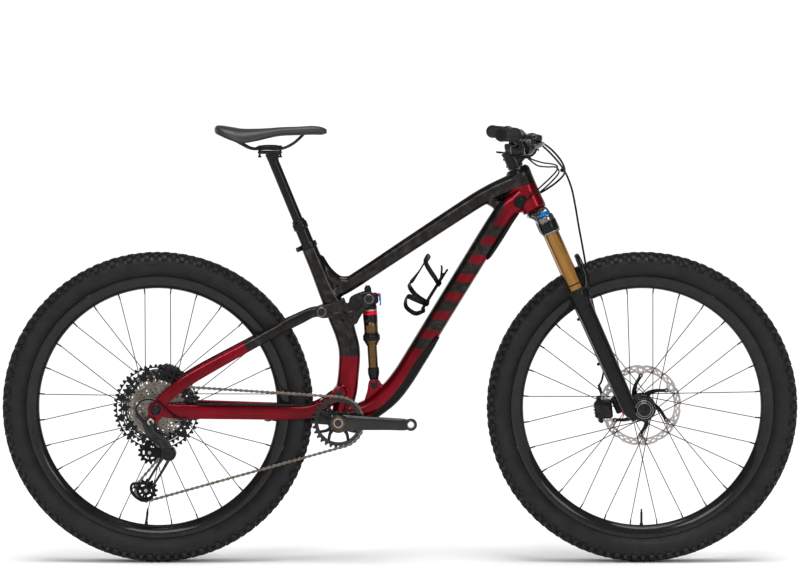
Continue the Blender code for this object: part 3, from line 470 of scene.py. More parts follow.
def surface(name, colour, rough, metal=0.0, coat=0.0, mottle=0.25, patch=60.0, grain=900.0,
        depth=0.05, spread=0.08, stretch=None, dust=None, specular=0.10):
    """A finish with colour patches, uneven gloss and a fine surface grain."""
    mat, nodes, links = new_material(name)
    shader = nodes["Principled BSDF"]
    shader.inputs["Metallic"].default_value = metal
    shader.inputs["Coat Weight"].default_value = coat
    shader.inputs["Coat Roughness"].default_value = 0.06
    shader.inputs["Specular IOR Level"].default_value = specular
    patches = noise(nodes, links, patch, 5.0)
    low = tuple(c * (1 - mottle) for c in colour)
    high = tuple(min(1.0, c * (1 + mottle)) for c in colour)
    base = ramp(nodes, links, patches.outputs["Fac"], [(0.3, low), (0.7, high)])
    if dust:
        fine = noise(nodes, links, patch * 4, 8.0)
        where = ramp(nodes, links, fine.outputs["Fac"], [(0.52, 0.0), (0.75, 0.5)])
        base = mix(nodes, links, where, base, dust)
    links.new(base, shader.inputs["Base Color"])
    gloss = noise(nodes, links, patch * 2.5, 6.0, stretch)
    links.new(ramp(nodes, links, gloss.outputs["Fac"], [(0.3, max(rough - spread, 0.02)),
        (0.7, min(rough + spread, 1.0))]), shader.inputs["Roughness"])
    texture = noise(nodes, links, grain, 3.0, stretch)
    links.new(bump(nodes, links, texture.outputs["Fac"], depth), shader.inputs["Normal"])
    return mat


def paint(name):
    """Clear-coated carbon: smoky grey where the piece's split value is above zero, red below."""
    mat, nodes, links = new_material(name)
    shader = nodes["Principled BSDF"]
    shader.inputs["Coat Weight"].default_value = 0.16
    shader.inputs["Coat Roughness"].default_value = 0.04
    shader.inputs["Metallic"].default_value = 0.85
    shader.inputs["Specular IOR Level"].default_value = 0.15
    smoke = noise(nodes, links, 26.0, 6.0, distortion=1.6)
    grey = ramp(nodes, links, smoke.outputs["Fac"], [(0.30, (0.007, 0.006, 0.0052)),
        (0.52, (0.015, 0.013, 0.0115)), (0.72, (0.036, 0.031, 0.0275))])
    flake = noise(nodes, links, 1500.0, 2.0)
    cloud = noise(nodes, links, 14.0, 3.0)
    red = ramp(nodes, links, cloud.outputs["Fac"], [(0.30, (0.09, 0.0003, 0.0035)),
        (0.70, (0.175, 0.0006, 0.007))])
    split = nodes.new("ShaderNodeAttribute")
    split.attribute_name = "split"
    edge = nodes.new("ShaderNodeMapRange")
    edge.inputs["From Min"].default_value = -0.4
    edge.inputs["From Max"].default_value = 0.4
    links.new(split.outputs["Fac"], edge.inputs["Value"])
    links.new(mix(nodes, links, edge.outputs["Result"], red, grey), shader.inputs["Base Color"])
    links.new(ramp(nodes, links, flake.outputs["Fac"], [(0.35, 0.22), (0.65, 0.36)]),
        shader.inputs["Roughness"])
    ripple = noise(nodes, links, 45.0, 2.0)
    links.new(bump(nodes, links, ripple.outputs["Fac"], 0.08), shader.inputs["Normal"])
    return mat


def tyre_rubber():
    """Rubber with a patchy tone, uneven gloss and a fine grain."""
    mat, nodes, links = new_material("tyre_tread")
    shader = nodes["Principled BSDF"]
    patches = noise(nodes, links, 30.0, 6.0)
    base = ramp(nodes, links, patches.outputs["Fac"], [(0.3, (0.006, 0.006, 0.006)),
        (0.7, (0.012, 0.012, 0.0115))])
    shader.inputs["Specular IOR Level"].default_value = 0.2
    links.new(base, shader.inputs["Base Color"])
    gloss = noise(nodes, links, 80.0, 5.0)
    links.new(ramp(nodes, links, gloss.outputs["Fac"], [(0.3, 0.46), (0.7, 0.62)]),
        shader.inputs["Roughness"])
    grain = noise(nodes, links, 1400.0, 3.0)
    links.new(bump(nodes, links, grain.outputs["Fac"], 0.12), shader.inputs["Normal"])
    return mat


def leather():
    """Saddle cover: a fine pebbled grain with slight wear."""
    mat, nodes, links = new_material("saddle_leather")
    shader = nodes["Principled BSDF"]
    patches = noise(nodes, links, 18.0, 5.0)
    links.new(ramp(nodes, links, patches.outputs["Fac"], [(0.3, (0.010, 0.010, 0.011)),
        (0.7, (0.018, 0.018, 0.019))]), shader.inputs["Base Color"])
    links.new(ramp(nodes, links, patches.outputs["Fac"], [(0.3, 0.42), (0.7, 0.56)]),
        shader.inputs["Roughness"])
    place = nodes.new("ShaderNodeTexCoord")
    pebble = nodes.new("ShaderNodeTexVoronoi")
    pebble.inputs["Scale"].default_value = 900.0
    links.new(place.outputs["Object"], pebble.inputs["Vector"])
    links.new(bump(nodes, links, pebble.outputs["Distance"], 0.10, 0.6), shader.inputs["Normal"])
    return mat


PAINT = paint("smoky_paint")
STAY_PAINT = paint("stay_paint")
BLACK = surface("black_coating", (0.005, 0.005, 0.0055), 0.24, coat=0.12, depth=0.02)
PLASTIC = surface("moulded_plastic", (0.0055, 0.0055, 0.006), 0.42, grain=1800.0, depth=0.05)
HOSE = surface("hose_jacket", (0.006, 0.006, 0.007), 0.36, grain=2500.0, depth=0.02)
CARBON = surface("rim_lacquer", (0.007, 0.007, 0.008), 0.26, coat=0.3, patch=40.0,
    mottle=0.35, depth=0.02)
RUBBER = surface("grip_compound", (0.012, 0.012, 0.012), 0.58, grain=1500.0, depth=0.1,
    dust=(0.03, 0.03, 0.03))
TYRE = tyre_rubber()
LEATHER = leather()
GOLD = surface("gold_tube", (0.25, 0.125, 0.036), 0.18, metal=1.0, mottle=0.08,
    stretch=(1, 1, 12), depth=0.008)
BRONZE = surface("bronze_can", (0.11, 0.062, 0.028), 0.26, metal=1.0, mottle=0.15,
    depth=0.01)
SILVER = surface("ground_steel", (0.36, 0.335, 0.32), 0.33, metal=1.0, mottle=0.10,
    stretch=(1, 8, 1), depth=0.03)
COG = surface("cog_steel", (0.15, 0.13, 0.115), 0.28, metal=1.0, mottle=0.22, depth=0.03)
LINKS = surface("link_steel", (0.13, 0.11, 0.093), 0.28, metal=1.0, mottle=0.25, depth=0.03)
SPOKE = surface("spoke_steel", (0.012, 0.012, 0.0125), 0.28, metal=0.8, depth=0.01)
DARK = surface("anodised_dark", (0.022, 0.022, 0.024), 0.28, metal=0.85, mottle=0.3,
    depth=0.03)
POLISHED = surface("polished_edge", (0.16, 0.155, 0.15), 0.20, metal=1.0, mottle=0.2,
    depth=0.01)
GLOSSY = surface("arm_anodised", (0.032, 0.031, 0.031), 0.20, metal=0.9, mottle=0.3,
    patch=12.0, depth=0.01)
BLUE = surface("anodised_blue", (0.01, 0.20, 0.62), 0.28, metal=0.75, mottle=0.1,
    depth=0.02)
RED = surface("anodised_red", (0.62, 0.01, 0.02), 0.30, metal=0.5, mottle=0.1, depth=0.02)


# --------------------------------------------------------------------- wheels

CASING = [(BEAD_R, 14.8), (322, 20.5), (331, 28.6), (343, 32.6), (353.5, 31.6), (360.8, 26.5), (365.8, 18),
    (367.9, 9)]


# The tread repeats PITCHES times round. Each block of one pitch, laid on both sides: its place
# round in pitches, place across, half-length round, half-width, height and twist.
PITCHES = 54
TREAD = ((0, 5.6, 7.8, 4.2, 7.3, 0.12), (0.5, 7.6, 5.4, 5.2, 7.2, -0.1),
    (0.25, 17.2, 5.6, 4.2, 7.5, 0.25), (0.75, 16.6, 6.4, 3.6, 7.3, -0.2),
    (0.05, 26.6, 6.4, 5.4, 7.6, 0.08), (0.55, 25.6, 5.4, 4.2, 7.8, -0.08),
    (0.30, 30.6, 4.2, 3.0, 2.6, 0.0))


def casing_place(across):
    """Radius and outward tilt of the casing at a given distance from its middle."""
    rows = [(368.4, 0.0)] + [(r, y) for r, y in reversed(CASING[4:])]
    for (r0, y0), (r1, y1) in zip(rows, rows[1:]):
        if across <= y1:
            share = (across - y0) / (y1 - y0)
            return r0 + (r1 - r0) * share, math.atan2(r0 - r1, y1 - y0)
    return rows[-1][0], math.atan2(1, 0.3)


def knob(centre, turn, y, half_round, half_wide, height, twist=0.0):
    """One tread block, its top a little smaller than its base."""
    radius, tilt = casing_place(abs(y))
    way = math.copysign(1, y)
    ray = Vector((math.cos(turn), 0, math.sin(turn)))
    out = ray * math.cos(tilt) + Y_AXIS * way * math.sin(tilt)
    wide = (Y_AXIS * math.cos(tilt) - ray * way * math.sin(tilt))
    long = out.cross(wide)
    wide, long = (wide * math.cos(twist) + long * math.sin(twist),
        long * math.cos(twist) - wide * math.sin(twist))
    foot = centre + ray * radius + Y_AXIS * y
    rings = []
    for level, share in ((-2.0, 1.12), (height * 0.75, 0.96), (height, 0.80)):
        a, b = half_round * share, half_wide * share
        outline = chamfered(a, b, 0.25 * min(a, b))
        rings.append([foot + out * level + long * i + wide * j for i, j in outline])
    return skin(rings)


def tyre(end, centre, body):
    outer = CASING + [(368.4, 0)] + [(r, -y) for r, y in reversed(CASING)]
    inner = [(r, y) for r, y in ((317, -12), (331, -25), (345, -29.5), (357, -27), (366, -14), (366, 14),
        (357, 27), (345, 29.5), (331, 25), (317, 12))]
    profile = [tuple(row) for row in smooth_rows(outer, 3)] + inner
    shapes = [lathe(centre, Y_AXIS, profile, 180)]
    step = 2 * math.pi / PITCHES
    for i in range(PITCHES):
        turn = 2 * math.pi * i / PITCHES
        for way in (-1, 1):
            for place, y, half_round, half_wide, height, twist in TREAD:
                shapes.append(knob(centre, turn + step * place, way * y, half_round, half_wide, height,
                    way * twist))
    piece("tread_" + end, merge(*shapes), TYRE, body, "tyre_" + end)


def rim(end, centre, body):
    wall = [(BEAD_R - 0.3, 17.3), (313, 17.5), (306, 16.8), (298, 13.4), (291, 8.2), (288, 4.2)]
    profile = wall + [(RIM_INNER_R, 0)] + [(r, -y) for r, y in reversed(wall)]
    profile += [(BEAD_R - 0.3, -14.2), (311, -12.5), (308.5, 0), (311, 12.5), (BEAD_R - 0.3, 14.2)]
    valve = polar(centre, 290, -90 if end == "front" else -96)
    ray = (valve - centre).normalized()
    stem = merge(rod(valve + ray * 4, valve - ray * 8, 4.2), rod(valve - ray * 7, valve - ray * 34, 2.9),
        rod(valve - ray * 33, valve - ray * 42, 2.2))
    piece("hoop_" + end, lathe(centre, Y_AXIS, profile, 180), CARBON, body, "rim_" + end)
    piece("valve_" + end, stem, BLACK, body)


def wheel_core(end, centre, body, hub):
    shapes = [lathe(centre, Y_AXIS, hub["profile"], 56)]
    for y in hub["flanges"]:
        for k in range(SPOKES // 2):
            shapes.append(rod(polar(centre, 29, k * 720 / SPOKES, y - 2.6),
                polar(centre, 29, k * 720 / SPOKES, y + 2.6), 2.4, sides=8))
    piece("hub_shell_" + end, merge(*shapes), DARK, body, "hub_" + end)
    spokes = []
    nipples = []
    lean = 3 * 360 / (SPOKES / 2)
    for k in range(SPOKES):
        theta = 360 * (k + 0.5) / SPOKES + 90 + hub["turn"]
        flange_y = hub["flanges"][k % 2]
        way = 1 if (k // 2) % 2 == 0 else -1
        out = 1.6 * way
        start = polar(centre, 29, theta + way * lean, flange_y + out)
        tip = polar(centre, RIM_INNER_R - 12, theta, math.copysign(1.6, flange_y) + out * 0.7)
        seat_end = polar(centre, RIM_INNER_R + 1.5, theta, math.copysign(1.2, flange_y) + out * 0.7)
        spokes.append(rod(start, start.lerp(tip, 0.12), 1.2, 1.1, 8))
        spokes.append(rod(start.lerp(tip, 0.12), tip, 1.1, 1.1, 8))
        nipples.append(rod(tip, seat_end, 1.7, 2.0, 6))
    piece("spokes_" + end, merge(*spokes), SPOKE, body, "hub_" + end)
    piece("nipples_" + end, merge(*nipples), BLACK, body, "hub_" + end)


def spaced(turn, count, width, offset=0.0):
    """True within width of one of count places round a circle."""
    share = (turn / (2 * math.pi) * count + offset) % 1.0
    return min(share, 1 - share) < width


def rotor(end, centre, body, y, radius, rivet_r):
    start = math.radians(30)

    def outer(turn):
        dip = 0.5 + 0.5 * math.cos(12 * turn + start)
        return radius - 2.4 * dip ** 6

    def inner(turn):
        tab = 0.5 + 0.5 * math.cos(6 * (turn - start))
        return radius - 17.5 - (radius - 17.5 - rivet_r + 4.5) * tab ** 12

    def window(turn, share):
        if 0.50 < share < 0.72 and spaced(turn - start, 36, 0.24):
            return True
        beside_tab = spaced(turn - start, 6, 0.1)
        return 0.26 < share < 0.44 and spaced(turn - start, 36, 0.20, 0.5) and not beside_tab

    ring = polar_plate(centre, y, 1.8, inner, outer, 720, 14, window)
    piece("rotor_ring_" + end, ring, SILVER, body, "rotor_" + end, angle=30)
    arms = [ring_of(centre, Y_AXIS, 16.5, 30, y - 1.6, y + 1.6, 48)]
    rivets = []
    for k in range(6):
        turn = 30 + 60 * k
        spine = ((27, 30, 8.5), (38, 24, 6.0), (52, 13, 4.4), (rivet_r - 8, 4, 4.0), (rivet_r, 0, 4.6))
        route = [(polar(centre, r, turn + swing, y), wide, 1.5) for r, swing, wide in spine]
        arms.append(loft(route, 16, across=polar(Vector(), 1, turn + 100), squareness=5))
        spot = polar(centre, rivet_r, turn)
        arms.append(rod(spot + Y_AXIS * (y - 1.6), spot + Y_AXIS * (y + 1.6), 5.4))
        rivets.append(rod(spot + Y_AXIS * (y - 2.4), spot + Y_AXIS * (y + 2.4), 2.7))
    arms.append(lathe(centre, Y_AXIS, [(15.2, y + 1.2), (22.5, y + 1.2), (23.5, y + 2), (23.5, y + 3.4),
        (22.5, y + 4), (15.2, y + 4)]))
    piece("rotor_spider_" + end, merge(*arms), BLACK, body)
    piece("rotor_rivets_" + end, merge(*rivets), SILVER, body)


def wheels():
    front = {"flanges": (-36, 28), "turn": 1.1, "profile": [(7.8, -55), (11.5, -55), (12, -54), (12, -45),
        (14, -42), (16, -40.5), (31.4, -38.6), (32, -38), (32, -34), (31.4, -33.4), (18, -31.5),
        (14.5, -26), (13.5, -10), (13.5, 8), (15, 18), (18, 23.5), (31.4, 25.4), (32, 26), (32, 30),
        (31.4, 30.6), (23, 32.5), (22, 42), (16.5, 42.5), (14, 49), (12, 52), (12, 54.5), (7.8, 55)]}
    rear = {"flanges": (-21, 33), "turn": 0.0, "profile": [(6.4, -74), (10, -74), (10, -66), (8.8, -65),
        (8.8, -26), (16, -24.5), (31.4, -23.6), (32, -23), (32, -19), (31.4, -18.4), (20, -16), (17, -10),
        (16, 6), (17, 22), (22, 28.5), (31.4, 30.4), (32, 31), (32, 35), (31.4, 35.6), (23, 37.5), (22, 56),
        (16.5, 56.5), (14, 64), (12, 68), (12, 73.5), (6.4, 74)]}
    # End, axle, body and hub, then the rotor's place across, its radius and its rivet circle
    ends = (("front", FRONT_AXLE, "front_wheel", front, 44, 98.5, 72),
        ("rear", REAR_AXLE, "rear_wheel", rear, 58, 88.0, 64))
    for end, centre, body, hub, y, radius, rivet_r in ends:
        tyre(end, centre, body)
        rim(end, centre, body)
        wheel_core(end, centre, body, hub)
        rotor(end, centre, body, y, radius, rivet_r)


# ---------------------------------------------------------------------- frame

def above(x, z, x0, z0, x1, z1):
    """Distance to the left of the line from (x0, z0) towards (x1, z1)."""
    length = math.hypot(x1 - x0, z1 - z0)
    return ((x1 - x0) * (z - z0) - (z1 - z0) * (x - x0)) / length


def set_split(item, values):
    attribute = item.data.attributes.new("split", "FLOAT", "POINT")
    attribute.data.foreach_set("value", np.asarray(values, np.float32))


def coordinates(item):
    flat = np.zeros(len(item.data.vertices) * 3, np.float32)
    item.data.vertices.foreach_get("co", flat)
    return flat.reshape(-1, 3).astype(float) / MM


# Even slanted stripes down the side of the down tube: where each starts, and how wide it is.
STRIPES = range(84, 460, 54)
STRIPE = 30.0
DOWN_TOP = (292.0, 884.0)
DOWN_LOW = (35.0, 496.0)
DOWN_HALF = 26.0


def frame_split(co):
    """Above zero where the front frame is smoky grey, below zero where it is red."""
    x, z = co[:, 0], co[:, 2]
    top_part = above(x, z, -60.0, 655.0, 229.7, 836.0)
    head = np.maximum(above(x, z, 268.8, 904.9, 332.3, 920.3), np.minimum(above(x, z, 229.7, 830.0, 268.8,
        904.9), top_part))
    dx, dz = DOWN_LOW[0] - DOWN_TOP[0], DOWN_LOW[1] - DOWN_TOP[1]
    length = math.hypot(dx, dz)
    along = ((x - DOWN_TOP[0]) * dx + (z - DOWN_TOP[1]) * dz) / length
    across = ((x - DOWN_TOP[0]) * -dz + (z - DOWN_TOP[1]) * dx) / length
    slant = along + 0.55 * across
    upper = -(across + DOWN_HALF * 0.80)
    bands = np.full(len(x), -50.0)
    for start in STRIPES:
        inside = STRIPE / 2 - np.abs(slant - start - STRIPE / 2)
        bands = np.maximum(bands, np.minimum(inside, DOWN_HALF * 0.72 - across))
    strip = np.minimum(upper, 470 - along)
    tube = np.minimum(np.maximum(bands, strip), along - 40)
    seat_part = np.minimum(z - 500, -40 - x)
    return np.maximum.reduce([head, tube, seat_part])


def front_frame():
    top = loft([((-168, 0, 646), 14, 14), ((-126, 0, 671), 16, 17.5), ((-60, 0, 714), 17, 18),
        ((0, 0, 754), 18, 18.5), ((144, 0, 849), 20, 19.5), ((205, 0, 887), 22, 20),
        ((262, 0, 914), 26, 21.5), ((306, 0, 928), 29, 24)], 40, squareness=2.9)
    down = loft([((306, 0, 896), 28, 27), ((280, 0, 871), 29, 27), ((246, 0, 838), 30, 26),
        ((141, 0, 670), 31.5, 25), ((35, 0, 496), 31.5, 25), ((5, 0, 448), 32.5, 25.5),
        ((-27, 0, 408), 32.5, 26.5), ((-75, 0, 371), 33, 25), ((-148, 0, 346), 33, 22)], 44, squareness=3.0)
    seat_tube = loft([((-219, 0, 762), 18.8, 18.8), ((-197, 0, 709), 19, 19.5), ((-172, 0, 648), 19.5, 22),
        ((-146, 0, 596), 20.5, 28), ((-131, 0, 552), 21.5, 26), ((-122, 0, 509), 21.5, 26),
        ((-125, 0, 450), 22.5, 25.5), ((-132, 0, 405), 26.5, 26.5), ((-146, 0, 350), 30.5, 20.5)], 40,
        squareness=2.5)
    brace = loft([((-196, 0, 738), 12, 12), ((-176, 0, 702), 13, 15), ((-146, 0, 680), 14, 14),
        ((-112, 0, 683), 15, 12)], 24)
    elbow = loft([((206, 0, 880), 16, 10), ((236, 0, 866), 20, 14), ((262, 0, 866), 24, 20)], 24)
    head = lathe(steer(0), STEER_UP, [(28.6, 522), (30, 526), (29.2, 560), (29.6, 600), (30.6, 618),
        (29.6, 621)], 56, solid=True)
    crease = both(loft([((-142, 19.5, 588), 2.2, 4), ((-126, 21.5, 540), 2.4, 5), ((-119, 22, 495), 2.2, 5),
        ((-121, 22.5, 440), 1.5, 4)], 12))
    shell = rod(BB - Y_AXIS * 46, BB + Y_AXIS * 46, 24, sides=48)
    boss = rod(MAIN_PIVOT - Y_AXIS * 34, MAIN_PIVOT + Y_AXIS * 34, 17.5, sides=40)
    saddle_boss = rod(ROCKER_PIVOT - Y_AXIS * 32.3, ROCKER_PIVOT + Y_AXIS * 32.3, 16, sides=40)
    x, z = SHOCK_FOOT.x, SHOCK_FOOT.z
    lug = round_outline([(x - 22, z - 44), (x - 17, z - 14), (x - 13, z + 8), (x, z + 14.5),
        (x + 13, z + 8), (x + 22, z - 10), (x + 36, z - 22), (x + 14, z - 46)])
    clevis = [slab(lug, y, y + 8, 1.0) for y in (-20.6, 12.6)]
    mesh = fused("frame_skin", [top, down, seat_tube, brace, elbow, head, crease, shell, boss, saddle_boss,
        *clevis], 2.0, 7)
    item = piece("main_frame", mesh, PAINT, "frame", "front_frame")
    set_split(item, frame_split(coordinates(item)))

    rings = [lathe(steer(0), STEER_UP, [(21.5, 521.2), (29.6, 521.2), (29.6, 523), (21.5, 523)], 56),
        lathe(steer(0), STEER_UP, [(16, 620.5), (30.4, 620.5), (29, 626), (24, 631.5), (16, 631.5)], 56)]
    piece("headset_cover", merge(*rings), BLACK, "frame")
    port = round_outline([(272, 872), (281, 858), (295, 861), (304, 876), (298, 888), (282, 886)])
    piece("cable_ports", both(slab(port, -32.2, -24.5, 1.6)), PLASTIC, "frame")
    bolts = [bolt(side(292, 879, -32), -Y_AXIS, 3.0, 1.4)]
    bolts += [bolt(SHOCK_FOOT + Y_AXIS * way * 20.4, Y_AXIS * way, 8.2, 3.0) for way in (-1, 1)]
    bolts += [bolt(MAIN_PIVOT + Y_AXIS * way * 47.2, Y_AXIS * way, 9.0, 2.2) for way in (-1, 1)]
    piece("frame_bolts", merge(*bolts), DARK, "frame")


def guards():
    spine = [(-88, 366, 24, 5), (-66, 377, 17, 12), (-27, 408, 14, 15), (5, 448, 13, 15.5),
        (35, 496, 14, 14.5), (58, 533, 18, 10), (74, 559, 22.5, 3.5)]
    stations = []
    for i, (x, z, out, high) in enumerate(spine):
        ahead, behind = spine[min(i + 1, len(spine) - 1)], spine[max(i - 1, 0)]
        along = Vector((ahead[0] - behind[0], 0, ahead[1] - behind[1])).normalized()
        stations.append((side(x, z) + Vector((along.z, 0, -along.x)) * out, 32.8, high))
    piece("down_tube_guard_skin", loft(stations, 36, squareness=3.2), PLASTIC, "frame", "down_tube_guard")
    high = loft([((205, 0, 736), 18, 2.5), ((214, 0, 748), 23, 5), ((240, 0, 790), 24, 6.5),
        ((262, 0, 826), 24, 6.5), ((278, 0, 846), 20, 4.5), ((284, 0, 852), 14, 2)], 28, squareness=3)
    piece("head_guard", shifted(high, Vector((4.0, 0, -3.0))), PLASTIC, "frame")


def shifted(shape, offset):
    points, faces = shape
    return [Vector(p) + offset for p in points], faces


def post_and_clamp():
    collar = lathe(seat(0), SEAT_UP, [(16.1, 11.8), (20.4, 11.8), (21.4, 12.8), (21.4, 23.6), (20.4, 24.8),
        (16.1, 24.8)], 56)
    lug = seat(18, -25)
    ears = [box(lug + Y_AXIS * y, (13, 5.2, 11.5), Vector((SEAT_UP.z, 0, -SEAT_UP.x)), Y_AXIS,
        1.6) for y in (-4.4, 4.4)]
    screw = merge(rod(lug - Y_AXIS * 11, lug + Y_AXIS * 10, 2.6), bolt(lug - Y_AXIS * 8, -Y_AXIS, 4.4, 4),
        bolt(lug + Y_AXIS * 7, Y_AXIS, 3.8, 2.5))
    piece("seat_collar", merge(collar, *ears), BLACK, "frame", "seat_clamp")
    piece("collar_screw", screw, DARK, "frame")
    outer = lathe(seat(0), SEAT_UP, [(12.8, -188), (15.8, -188), (15.8, 60), (16.2, 60.5), (18.0, 61.5),
        (18.4, 64), (18.4, 74), (17.8, 77), (15.6, 79), (15.2, 84), (14.2, 85.5), (12.8, 85.5)], 56)
    piece("post_sleeve", outer, BLACK, "frame", "post_outer")
    piece("post_wiper", ring_of(seat(0), SEAT_UP, 12.7, 16.2, 79.6, 81.2), RUBBER, "frame")


def bottle_cage():
    along = Vector((0.525, 0, 0.851))
    rail = box((81, 0, 654.5), (130, 13, 5), along, Y_AXIS, 1.4)
    channel = box((78.8, 0, 656), (104, 5, 5), along, Y_AXIS, 1.0)
    upper = loft([((97, 0, 672), 6.5, 2.4), ((90, -14, 679), 5.5, 2.2), ((84, -28, 690), 6, 2.0),
        ((72, -36, 708), 6, 2.0), ((63, -32, 724), 6, 2.2), ((61, -18, 735), 7, 2.6),
        ((65, -3, 741), 7, 2.8), ((70, 12, 735), 6, 2.4), ((66, 18, 728), 4, 2)], 20, across=along,
        squareness=3)
    front = loft([((66, -2, 738), 3.4, 2.6), ((48, 0, 707), 3.0, 2.2), ((27, 0, 678), 5.4, 5.0)], 16)
    lower = loft([((27, -4, 678), 5, 2.4), ((22, 10, 672), 5.5, 2.4), ((25, 28, 662), 6, 2.2),
        ((36, 34, 647), 6, 2.2), ((52, 25, 634), 7, 2.4), ((68, 2, 626), 7, 2.4)], 20, across=along,
        squareness=3)
    pocket = loft([((68, 0, 624), 5.5, 2.4), ((50, -26, 632), 6, 2.4), ((34, -34, 640), 6.5, 2.4),
        ((19, -24, 645), 6.5, 2.4), ((14, -6, 636), 6, 2.4), ((14, 8, 620), 5.5, 2.4),
        ((24, 20, 608), 5.5, 2.2), ((40, 18, 601), 6, 2.2), ((60, 4, 610), 6, 2.4)], 20, across=along,
        squareness=3)
    hook = loft([((96, 2, 674), 4, 3), ((99, 4, 692), 3.6, 2.4), ((101, 4, 712), 4.4, 2.6),
        ((99, 4, 719), 3, 1.8)], 16)
    mesh = fused("cage_skin", [rail, channel, upper, front, lower, pocket, hook], 0.8, 5)
    piece("bottle_holder", mesh, PLASTIC, "frame", "bottle_cage")
    normal = Vector((-0.851, 0, 0.525))
    screws = [bolt(Vector((81, 0, 654.5)) + along * s + normal * 3.4, normal, 4.2, 2.4) for s in (-32, 32)]
    piece("holder_screws", merge(*screws), DARK, "frame")


# ------------------------------------------------------------ rear suspension

def chainstays():
    right = [((-583, -77.3, 377), 2.4, 15), ((-560, -77.3, 374), 3, 17), ((-530, -75.4, 371), 4.6, 17.5),
        ((-495, -71.5, 370), 6.2, 17), ((-450, -65, 369), 7.5, 17), ((-380, -54, 367.5), 7.5, 17.2),
        ((-320, -46.8, 366), 6.8, 17.2), ((-270, -43.2, 365.5), 5.8, 17), ((-225, -43, 367), 5.6, 15.5),
        ((-190, -43, 380), 5.6, 14), ((-160, -42, 401), 6, 13.5), ((-146, -41, 411), 6, 12)]
    shapes = [both(loft(right, 32, squareness=2.9))]
    shapes.append(both(rod(MAIN_PIVOT - Y_AXIS * 47, MAIN_PIVOT - Y_AXIS * 34.5, 15.5, sides=40)))
    shapes.append(both(rod(REAR_AXLE - Y_AXIS * 80.2, REAR_AXLE - Y_AXIS * 74.6, 20, sides=48)))
    shapes.append(loft([((-187, -44, 386), 9, 8.5), ((-184, 0, 387), 9.5, 8.5), ((-187, 44, 386), 9, 8.5)],
        24, across=X_AXIS))
    item = piece("chainstay_skin", fused("stay_skin", shapes, 1.6, 5), STAY_PAINT, "swingarm", "chainstay")
    set_split(item, np.full(len(item.data.vertices), -5.0))
    strip = loft([((-486, -73, 388.6), 3.2, 2.2), ((-440, -66, 387.8), 5.4, 2.8),
        ((-380, -55, 386.6), 6, 3.2), ((-320, -47.6, 385), 6, 3.2), ((-262, -44, 384), 5, 2.8),
        ((-228, -43.6, 384), 3, 2)], 20, squareness=3)
    piece("stay_protector", strip, RUBBER, "swingarm")


def seatstays():
    right = [((-188.5, -27.5, 608), 4.6, 11.5), ((-212, -27.8, 605), 4.8, 12),
        ((-240, -32.5, 592), 6.5, 13), ((-290, -45, 568), 7.5, 13.2), ((-356, -53, 532), 7, 13.2),
        ((-455, -67, 478), 6, 14.5), ((-510, -77.5, 446), 4.8, 15), ((-540, -82.2, 424), 3.4, 15),
        ((-566, -83.4, 402), 2.6, 15), ((-580, -83.4, 384), 2.5, 13)]
    shapes = [both(loft(right, 32, squareness=2.6)), both(rod(STAY_PIVOT - Y_AXIS * 32.3,
        STAY_PIVOT - Y_AXIS * 22.6, 14.5, sides=40)), both(rod(REAR_AXLE - Y_AXIS * 86,
        REAR_AXLE - Y_AXIS * 80.6, 19.5, sides=48)), loft([((-257, -36, 584), 8.5, 8.5),
        ((-254, 0, 583), 8.5, 7.5), ((-257, 36, 584), 8.5, 8.5)], 24, across=X_AXIS),
        slab(round_outline([(-570, 362), (-588, 341), (-600, 338), (-607, 348), (-599, 372)]), -85.8,
        -80.8), box((-551, 78.6, 438), (36, 5.4, 36))]
    item = piece("seatstay_skin", fused("seatstay_mesh", shapes, 1.6, 5), STAY_PAINT, "seatstays", "seatstay")
    co = coordinates(item)
    slant = co[:, 0] + 0.55 * (co[:, 2] - 530)
    set_split(item, slant + 372)
    caps = [merge(lathe(REAR_AXLE, Y_AXIS * way, [(1, 86.2), (12.5, 86.2), (13, 87), (13, 88.6),
        (11.5, 89.6), (10.5, 89.2), (9.5, 87.6), (1, 87.6)], 48), bolt(REAR_AXLE + Y_AXIS * way * 87.6,
        Y_AXIS * way, 7.6, 1.8)) for way in (-1, 1)]
    piece("axle_ends", merge(rod(REAR_AXLE - Y_AXIS * 86, REAR_AXLE + Y_AXIS * 86, 6.0), *caps), DARK,
        "seatstays", "rear_axle")


